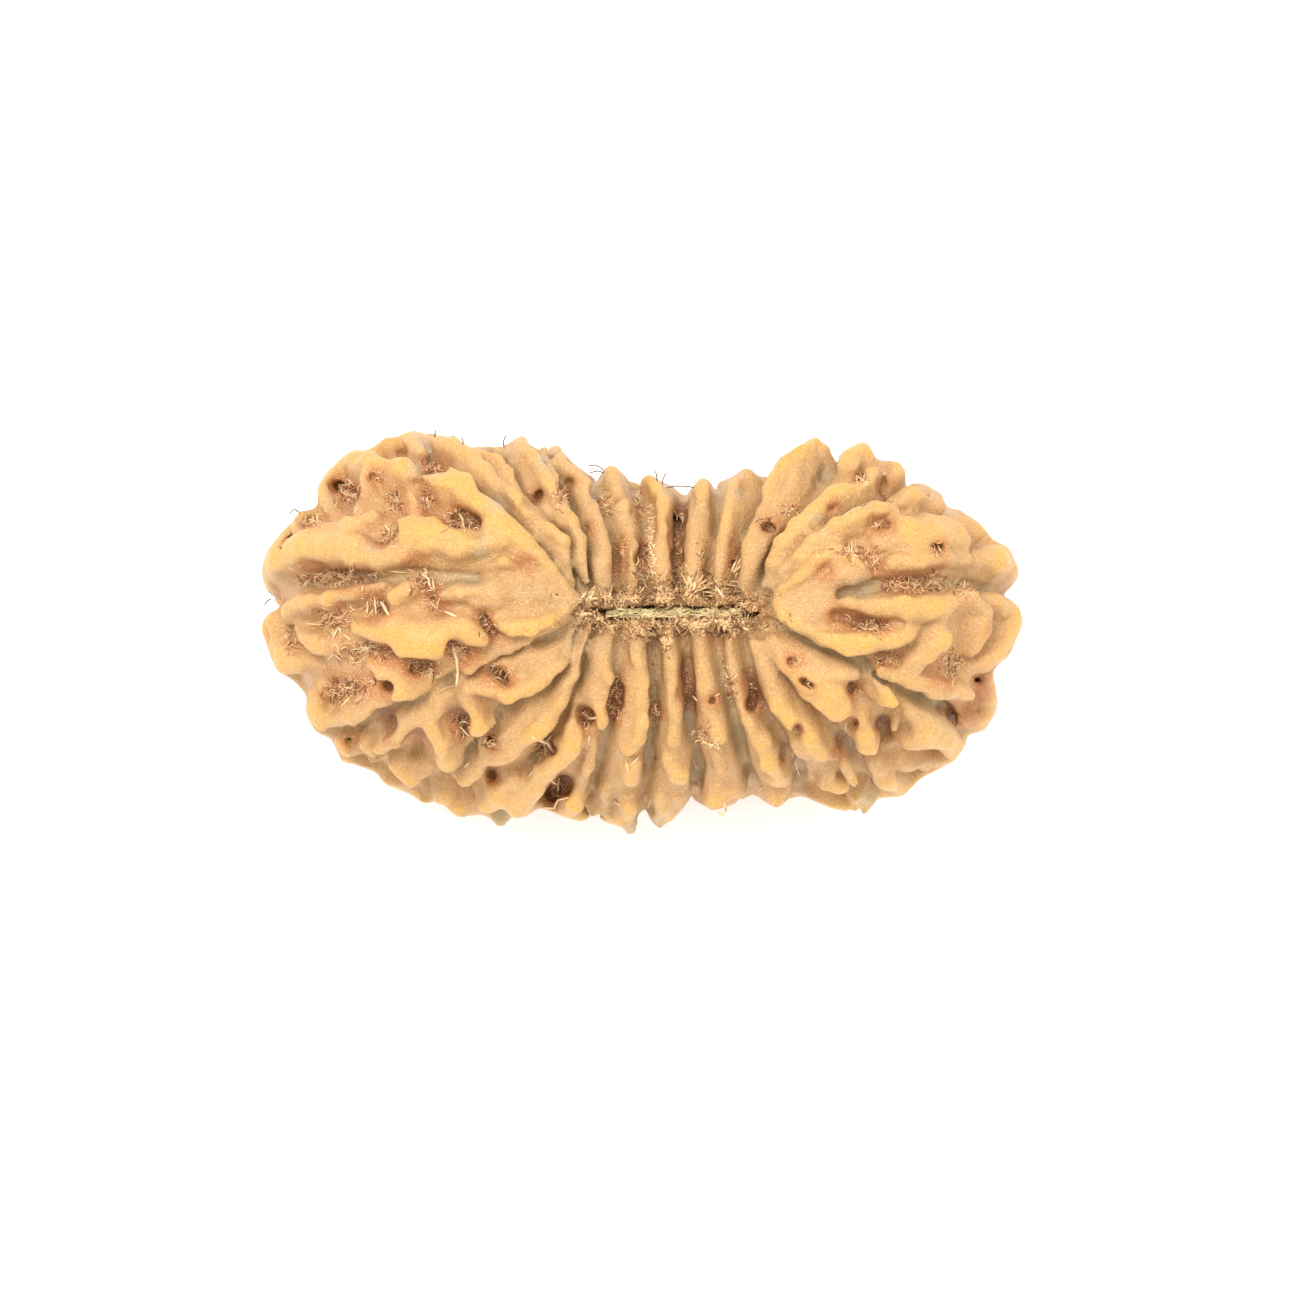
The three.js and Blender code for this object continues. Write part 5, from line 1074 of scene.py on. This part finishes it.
# The strand: a dried strip of pith that lies along the slit, pale and frayed at its ends. It is a
# bundle of short split fibres, greenish at its left end and cream at its right.
STRAND_ENDS = (-3.3, 3.5)
STRAND_MIDDLE = 0.17
STRAND_HALF_WIDTH = 0.2
STRAND_TOP = -0.05
STRAND_BED = -0.25
STRAND_SWAY = 0.03
STRAND_FIBRES = 420
# fibres stay this far above the resting plane
FIBRE_CLEAR = 0.01


def tubes(name, fibres, finish):
    """one mesh of thin closed fibres, each its places in millimetres, its radius and its tone"""
    corners, faces, tones = [], [], []
    for places, radius, tone in fibres:
        places = np.asarray(places)
        along = np.gradient(places, axis=0)
        along /= np.linalg.norm(along, axis=1, keepdims=True) + 1e-9
        side = np.cross(along, EYE + 1e-3)
        side /= np.linalg.norm(side, axis=1, keepdims=True) + 1e-9
        other = np.cross(along, side)
        taper = np.ones(len(places))
        taper[[0, -1]] = 0.5
        start = len(corners) * 4
        for place, a, b, width in zip(places, side, other, radius * taper):
            ring = np.array([place + width * a, place + width * b, place - width * a, place - width * b])
            ring[:, 2] = np.maximum(ring[:, 2], FIBRE_CLEAR - MOVE[2])
            corners.append(ring)
        for k in range(len(places) - 1):
            for q in range(4):
                low, high = start + 4 * k + q, start + 4 * k + (q + 1) % 4
                faces.append((low, high, high + 4, low + 4))
        last = start + 4 * (len(places) - 1)
        faces += [(start + 3, start + 2, start + 1, start), (last, last + 1, last + 2, last + 3)]
        tones += [tone] * (4 * len(places))
    body = bpy.data.meshes.new(name)
    body.from_pydata(((np.concatenate(corners) + MOVE) / 1000).tolist(), [], faces)
    body.shade_smooth()
    body.attributes.new("tone", "FLOAT", "POINT").data.foreach_set("value", np.array(tones, np.float32))
    body.materials.append(finish)
    return put(name, body)


FIBRE_SHADE = (0.83, 0.83, 0.83, 1)


def fibre_finish(name, dark, middle, light):
    """fibres darken or pale by their own tone"""
    finish = Finish(name)
    where = finish.node("ShaderNodeTexCoord", {}, {}).out("Object")
    tone = finish.field("tone") + (finish.grain(where, 3000.0) - 0.5) * 0.5
    shade = finish.mix(finish.ramp(tone, 0.0, 0.5), colour(*dark), colour(*middle))
    shade = finish.mix(finish.ramp(tone, 0.4, 0.9), shade, colour(*light))
    shade = finish.mix(1.0, shade, FIBRE_SHADE, "MULTIPLY")
    finish.feed(finish.shader.inputs["Base Color"], shade)
    finish.shader.inputs["Roughness"].default_value = 0.75
    return finish.material


def strand_fibre():
    u = GROWTH.uniform(*STRAND_ENDS)
    v = STRAND_MIDDLE + STRAND_HALF_WIDTH * GROWTH.uniform(-1, 1)
    length, lean = GROWTH.uniform(0.2, 0.8), GROWTH.normal(0, 0.3)
    sink = STRAND_TOP - GROWTH.uniform(0, 0.35)
    run = np.linspace(-0.5, 0.5, 5) * length
    places = []
    for step in run:
        a = min(STRAND_ENDS[1], max(STRAND_ENDS[0], u + step))
        bed = lay(a, v + lean * step + GROWTH.normal(0, STRAND_SWAY), STRAND_BED)
        places.append(bed + (sink + GROWTH.normal(0, STRAND_SWAY)) * EYE)
    return places, GROWTH.uniform(0.03, 0.07), 0.62 + 0.1 * u + GROWTH.normal(0, 0.25)


strand = tubes("pith_strand", [strand_fibre() for _ in range(STRAND_FIBRES)],
               fibre_finish("pith", (192, 180, 132), (220, 198, 144), (238, 210, 154)))
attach(strand, "root")
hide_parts("pith_strip")

# The fibres: what the soft fruit left in the wells, the creases and along the slit, dried to straw.
# Each long one is read from above, as places (u, v), with its radius.
LONG_FIBRES = [
    ([(-11, -1.4), (-10.95, -1.7), (-10.8, -2.1), (-10.72, -2.7), (-10.75, -3.1), (-10.8, -3.5)], .08),
    ([(-14.9, 1), (-14.8, .1)], .05), ([(-14.6, .8), (-14.4, .5), (-14.2, .1)], .09),
    ([(-15.2, .6), (-15.3, .1)], .05), ([(-12.6, 2.2), (-12.2, 1.9), (-12.1, 1.2)], .06),
    ([(-12, 2), (-11.9, 1.2)], .05), ([(-11.5, .3), (-10.8, 0)], .08),
    ([(-15, 2.2), (-14.2, 2.3), (-13.3, 2.2)], .05), ([(-18.4, -.3), (-17.3, -.4)], .05),
    ([(-16.7, -.5), (-17, -1.1)], .05), ([(-16.5, -.8), (-16, -1.2)], .05),
    ([(-16.1, -4), (-16.6, -4.5)], .05), ([(-17.95, 4.9), (-17.45, 4.35)], .06),
    ([(-16.3, 7), (-15.9, 6.6)], .05), ([(-14.4, 4.65), (-14.1, 4.2)], .06),
    ([(-10.7, 5.2), (-10.5, 4.9), (-10.4, 4.3)], .06), ([(-10.6, -5.5), (-9.8, -6.3)], .06),
    ([(-9.4, -6.3), (-9.3, -6)], .05), ([(-9.2, -6.2), (-8.8, -6.4)], .05),
    ([(-7, -6), (-6.2, -6.3), (-5.9, -6.8)], .09), ([(-6.3, -6.2), (-6, -5.9)], .05),
    ([(-6.55, -6.9), (-6.75, -7.5), (-7.3, -8.1)], .05), ([(-5.65, -8), (-5.7, -8.9)], .06),
    ([(-6.4, -9.45), (-5.9, -9.5), (-5.7, -9.1), (-5.2, -9)], .06), ([(-4.1, -5.4), (-4.2, -6.4)], .05),
    ([(-4.4, -5.1), (-3.5, -5)], .06), ([(-2.1, -7.4), (-1.6, -6.9)], .05),
    ([(-2.3, -7.2), (-2.2, -7.8)], .05), ([(-.9, -4.3), (-.75, -4.9)], .06),
    ([(-2.9, -9.1), (-2.6, -9.4)], .05), ([(1.5, -6.2), (2, -6.4), (2.4, -6.6)], .06),
    ([(2, -4), (2.4, -3.8)], .05), ([(1, -3.9), (1.25, -4.2)], .05), ([(1, -7), (1.3, -7.6)], .04),
    ([(2.6, -9.3), (2.7, -9.6), (2.55, -9.9), (2.3, -9.75)], .06), ([(4.35, -8.5), (4.6, -8.5)], .05),
    ([(6.6, -3.2), (7, -3.6)], .05), ([(8.7, -5.2), (8.65, -5.7)], .05),
    ([(6, -6.8), (6.2, -7.4), (6.4, -7.9)], .04), ([(-1.1, -8.2), (-1.05, -9), (-1.2, -9.5)], .04),
    ([(-12.2, -4), (-11.2, -3.5), (-10.7, -3.4)], .012), ([(-10.4, -7.5), (-10.1, -7.2)], .05),
    ([(7.2, 6.6), (6.6, 6), (6.3, 5.3)], .02), ([(10, 5.8), (9, 5.4), (8.5, 5), (7.2, 4.1)], .02),
    ([(9.2, 7.1), (9.6, 6.8)], .05), ([(10.1, 4.8), (10.3, 4.4)], .05), ([(13.2, 3.7), (13.4, 3.3)], .05),
    ([(.3, 1.2), (.7, 1.5), (1.2, 1.8)], .07), ([(.5, .8), (.9, 1.2), (1.3, 1.4)], .07),
    ([(2.2, 1.5), (2.4, 1.2), (2.6, .9)], .07), ([(-4.2, .7), (-3.9, 1.4)], .06),
    ([(-4.4, .6), (-4.1, 1.2)], .06),
]
# Dark hairs that stand out past the outline.
HAIR_RADIUS, HAIR_TONE = 0.036, 0.5
HAIRS = [
    [(-18.6, 5.25), (-18.9, 5.45), (-19.15, 5.2)], [(-11.9, 9), (-11.85, 9.25), (-11.8, 9.4)],
    [(-10.5, 8.6), (-10.45, 8.8), (-10.55, 9)], [(-8.4, 8.5), (-8.45, 8.8), (-8.3, 9.15)],
    [(-3.4, 7.35), (-3.6, 7.55), (-3.85, 7.65), (-4.17, 7.62)], [(-3.4, 7.25), (-3.7, 7.35), (-4.15, 7.25)],
    [(-.5, 6.65), (-.45, 6.95), (-.3, 7.25)], [(-.75, 6.8), (-.78, 7.1), (-.85, 7.35)],
    [(-.3, 6.5), (.2, 6.58), (.7, 6.57), (1.15, 6.5)], [(-20, 1), (-20.2, .9), (-20.4, .65)],
]
# Felted places: middle (u, v), half width and half height of the place, number of fibres, and length.
FELT = [
    (-16.8, 2, 1.8, .35, 132, .55), (-12.6, 1.9, .5, .4, 52, .5), (-12, 1, .3, .6, 44, .5),
    (-16.9, -.1, .7, .5, 88, .5), (-15.4, -1.7, 1.2, .35, 96, .5), (-16.1, -3.5, 1.1, .5, 132, .55),
    (-19, -1.2, .35, .35, 35, .35), (-15, .5, .5, .5, 35, .5), (-16.2, 6.2, .5, .6, 66, .45),
    (-14.8, 7, .3, .3, 17, .3), (-13.9, 5.7, .4, .5, 48, .35), (-12.3, 6, .3, .6, 39, .35),
    (-12, 7.5, .35, .3, 39, .35), (-10.5, 4.8, .8, .4, 74, .5), (-18, 4.7, .5, .25, 35, .4),
    (-14.2, 4.1, .3, .4, 26, .4), (-9.3, -.4, .3, .5, 26, .35), (-10.7, -1.7, .4, .4, 52, .5),
    (-8.7, -2.8, .45, .4, 44, .45), (-12.4, -2.6, .7, .3, 52, .45), (-10.5, -5.4, .2, .5, 30, .5),
    (-9, -6.2, .3, .25, 22, .4), (-6.3, -6.4, .4, .35, 26, .5), (-5.7, -8.5, .4, .5, 30, .5),
    (-4.3, -5.1, .3, .35, 30, .45), (-2.8, -4.2, .3, .9, 57, .35), (-.85, -4.8, .2, .6, 26, .35),
    (1.5, -5.8, .3, .5, 26, .35), (2.1, -6.4, .3, .2, 17, .35), (3, -3.6, .2, .8, 26, .3),
    (10.1, 2.8, .2, .4, 30, .35), (11.2, 1.7, .5, .2, 60, .5), (12.2, 1.5, .5, .25, 70, .5),
    (13, 1.8, .4, .3, 50, .45), (14.6, 1.4, .9, .1, 30, .5), (10, -.5, .8, .25, 66, .45),
    (10.7, -2.2, .5, .25, 30, .4), (13.9, -2.3, .4, .8, 66, .5), (9.4, 6.9, .3, .25, 26, .4),
    (10.2, 4.6, .3, .2, 22, .35), (6.1, -2.2, .12, .12, 14, .25), (6.8, -3.35, .2, .12, 18, .25),
    (6.2, -5.65, .12, .12, 10, .2), (4.9, 4.5, .15, .12, 14, .25), (13.3, 3.4, .3, .25, 22, .35),
    (9.2, 3.2, .9, .25, 39, .4), (6, 5.5, .4, .4, 22, .3), (-5.6, 6.1, .3, .5, 35, .35),
    (-3.3, 5.6, .3, .6, 26, .3), (-1.7, 5.6, .2, 1, 35, .3),
]
# The torn felt beside the slit, in the same form, then the paler straw that stands in it.
SLIT_BED = [
    (0, .95, 4.4, .3, 900, .3), (0, -.4, 4.3, .38, 1200, .28), (-4.6, .25, .3, .45, 80, .25),
    (4.4, .1, .4, .4, 90, .25), (-.3, 1.7, 1.6, .5, 240, .3), (1.6, 1.8, .6, .5, 120, .3),
    (-1.4, -1, 1.5, .25, 160, .24), (2.6, -.9, 1.2, .2, 90, .22),
]
SLIT_TUFTS = [
    (-3, .95, 1.2, .25, 130, .5), (-.5, 1.15, 1.6, .35, 190, .5), (2.2, 1.3, 1.1, .45, 190, .55),
    (3.9, .7, .7, .3, 90, .45), (-2.9, -.35, 1.5, .3, 170, .42), (-.2, -.5, 1.5, .3, 150, .42),
    (2.6, -.35, 1.6, .35, 170, .42), (-.3, -1.4, .12, .5, 40, .35), (-4.4, .2, .4, .4, 50, .4),
    (.3, 2.3, .3, .6, 60, .45), (-1.7, 2.3, .2, .6, 40, .4),
]
BACK_FELT = [
    (.35, 3.9, .2, 1, 150, .22), (-2.45, 3.3, .16, .9, 90, .22), (-1.5, 2.9, .12, .8, 60, .22),
    (3, 2.9, .14, .9, 70, .22), (.3, 2.2, .35, .5, 60, .25), (-1.6, 5.2, .14, .9, 60, .22),
    (1.5, 3.2, .2, .8, 50, .2), (4.6, 4.7, .3, .25, 50, .25), (.75, -3.2, .14, 1.2, 70, .22),
    (2.6, -2.9, .1, 1.2, 50, .2), (-.9, -3.3, .1, 1.2, 50, .2), (4, -3.6, .16, .9, 60, .22),
]
BACK_CORD = [(-1.08, 4.1, .09, 1.5, 200, .24), (-.95, 2.6, .07, .6, 60, .24), (.5, 5.1, .25, .25, 20, .3)]
SLIT_STRAW = [
    (-4.3, 1, .16, .3, 12, .6), (1, 1.35, .5, .3, 26, .8), (.5, 1, .3, .15, 14, .5),
    (3.1, 2.2, .2, .4, 12, .6),
]
SLIT_CRUMBS = [
    (-2.6, .85, 1.3, .2, 60, .22), (-.3, .85, .6, .2, 40, .24), (3.4, .45, .8, .25, 60, .25),
    (-3.6, -.05, .9, .25, 70, .25), (1.8, -.35, 1.9, .3, 110, .24), (-.3, -1.3, .1, .5, 50, .24),
    (-4.6, .1, .3, .2, 20, .25),
]
WISP_PLACES = 4
WISP_LENGTHS = (0.5, 1.3)
WISP_RADII = (0.6, 1.5)
WISP_BEND = 1.4


def wisps(felt, thick, low, high, lean=None, lift=0.2):
    """short bent fibres that start in the surface and lean any way, or all about one way"""
    counts = [row[4] for row in felt]
    middle = np.repeat([row[:2] for row in felt], counts, axis=0)
    spread = np.repeat([row[2:4] for row in felt], counts, axis=0)
    length = np.repeat([row[5] for row in felt], counts) * GROWTH.uniform(*WISP_LENGTHS, len(middle))
    foot = middle + spread * GROWTH.standard_normal(middle.shape) * 0.5
    share = np.linspace(0, 1, WISP_PLACES)
    turn = GROWTH.uniform(0, 2 * math.pi, len(foot)) if lean is None else GROWTH.normal(lean, 0.35, len(foot))
    bend = GROWTH.uniform(-WISP_BEND, WISP_BEND, len(foot)) * (1 if lean is None else 0.3)
    turn = turn[:, None] + bend[:, None] * share
    u = foot[:, :1] + np.cos(turn) * length[:, None] * share
    v = foot[:, 1:] + np.sin(turn) * length[:, None] * share
    depth = surface_depth(u.ravel(), v.ravel()).reshape(u.shape)
    depth = np.clip(depth, depth[:, :1] - 0.25, depth[:, :1] + 0.3)
    arch = np.sin(math.pi * np.minimum(1, share * 0.8 + 0.1))
    depth += GROWTH.uniform(0.02, lift, len(foot))[:, None] * arch - 0.02
    tone = GROWTH.uniform(low, high, len(foot))
    radius = thick * GROWTH.uniform(*WISP_RADII, len(foot))
    paths = [[seen(a, b, t) for a, b, t in zip(*places)] for places in zip(u, v, depth)]
    return list(zip(paths, radius, tone))


def finer(places):
    """a given path, with two places added in each stretch"""
    u, v = zip(*places)
    run = np.linspace(0, 1, 3 * len(places) - 2)
    given = np.linspace(0, 1, len(places))
    return run, np.interp(run, given, u), np.interp(run, given, v)


def read_fibre(places, radius, tone):
    """a fibre that follows the stone, half sunk and half held straight"""
    run, u, v = finer(places)
    depth = surface_depth(u, v)
    depth = np.interp(run, (0, 1), depth[[0, -1]]) * 0.5 + depth * 0.5 + 0.05 + 0.12 * np.sin(math.pi * run)
    return [seen(a, b, t) for a, b, t in zip(u, v, depth)], radius, tone


def loose_hair(places):
    """a hair held at its first place, its other end in the air at the same depth"""
    _, u, v = finer(places)
    held = surface_depth(u[:1], v[:1])[0]
    return [seen(a, b, held) for a, b in zip(u, v)], HAIR_RADIUS, HAIR_TONE


straw_finish = fibre_finish("straw fibre", (150, 84, 50), (224, 168, 110), (250, 218, 168))
straw = tubes("straw_fibres", [read_fibre(*fibre, 0.85) for fibre in LONG_FIBRES]
              + wisps(FELT * 2, 0.024, 0.0, 0.95) + wisps(BACK_CORD, 0.04, 0.4, 1.0, lift=0.12)
              + wisps(SLIT_STRAW, 0.06, 0.4, 0.8, lean=0.9, lift=0.3), straw_finish)
felt = tubes("slit_felt", wisps(SLIT_BED, 0.036, 0.1, 0.85, lift=0.08)
             + wisps(SLIT_TUFTS, 0.028, 0.1, 1.0, lift=0.22) + wisps(BACK_FELT, 0.03, 0.1, 0.9, lift=0.08)
             + wisps(SLIT_CRUMBS, 0.055, 0.8, 1.1, lift=0.1),
             fibre_finish("felt", (104, 68, 38), (188, 138, 88), (240, 200, 142)))
hairs = tubes("dark_hairs", [loose_hair(hair) for hair in HAIRS],
              fibre_finish("dark hair", (84, 76, 70), (112, 102, 94), (150, 136, 118)))
for piece in (straw, felt, hairs):
    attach(piece, "root")

# The floor, the light and the camera: white paper under two soft lamps, seen by the photo's eye.
floor_mesh = bpy.data.meshes.new("floor")
floor_mesh.from_pydata([(-3, -3, 0), (3, -3, 0), (3, 3, 0), (-3, 3, 0)], [], [(0, 1, 2, 3)])
floor = put("floor", floor_mesh)
paper = Finish("paper")
paper.shader.inputs["Base Color"].default_value = (0.97, 0.97, 0.97, 1)
paper.shader.inputs["Roughness"].default_value = 0.9
paper.shader.inputs["Emission Color"].default_value = (1, 1, 1, 1)
paper.shader.inputs["Emission Strength"].default_value = 0.3
floor_mesh.materials.append(paper.material)


def lamp(name, place, size, power):
    light = bpy.data.lights.new(name, "AREA")
    light.shape, light.size, light.energy = "DISK", size, power
    body = put(name, light)
    body.location = place
    body.rotation_euler = (-Vector(place)).to_track_quat("-Z", "Y").to_euler()


lamp("key light", (-0.18, 0.1, 0.75), 0.36, 5.5)
lamp("fill light", (0.3, -0.15, 0.6), 0.6, 1.8)
world = bpy.data.worlds.new("studio")
world.use_nodes = True
world.node_tree.nodes["Background"].inputs["Color"].default_value = (1, 1, 1, 1)
world.node_tree.nodes["Background"].inputs["Strength"].default_value = 0.93
bpy.context.scene.world = world
bpy.context.scene.view_settings.view_transform = "Standard"

PHOTO_WIDTH = 1313
PIXELS_PER_MM = 20.0
# the u, v that the camera looks at
MIDDLE = (-0.775, -1.925)
SENSOR = 36.0
lens = bpy.data.cameras.new("camera")
lens.sensor_width = SENSOR
lens.lens = SENSOR * EYE_FAR / (PHOTO_WIDTH / PIXELS_PER_MM)
lens.clip_start, lens.clip_end = 0.01, 10.0
camera = put("camera", lens)
aim = MOVE + np.array([MIDDLE[0], 0, 0]) + MIDDLE[1] * UP
camera.location = (aim + EYE_FAR * EYE) / 1000
camera.rotation_euler = (math.radians(90) - EYE_TILT, 0, 0)
bpy.context.scene.camera = camera
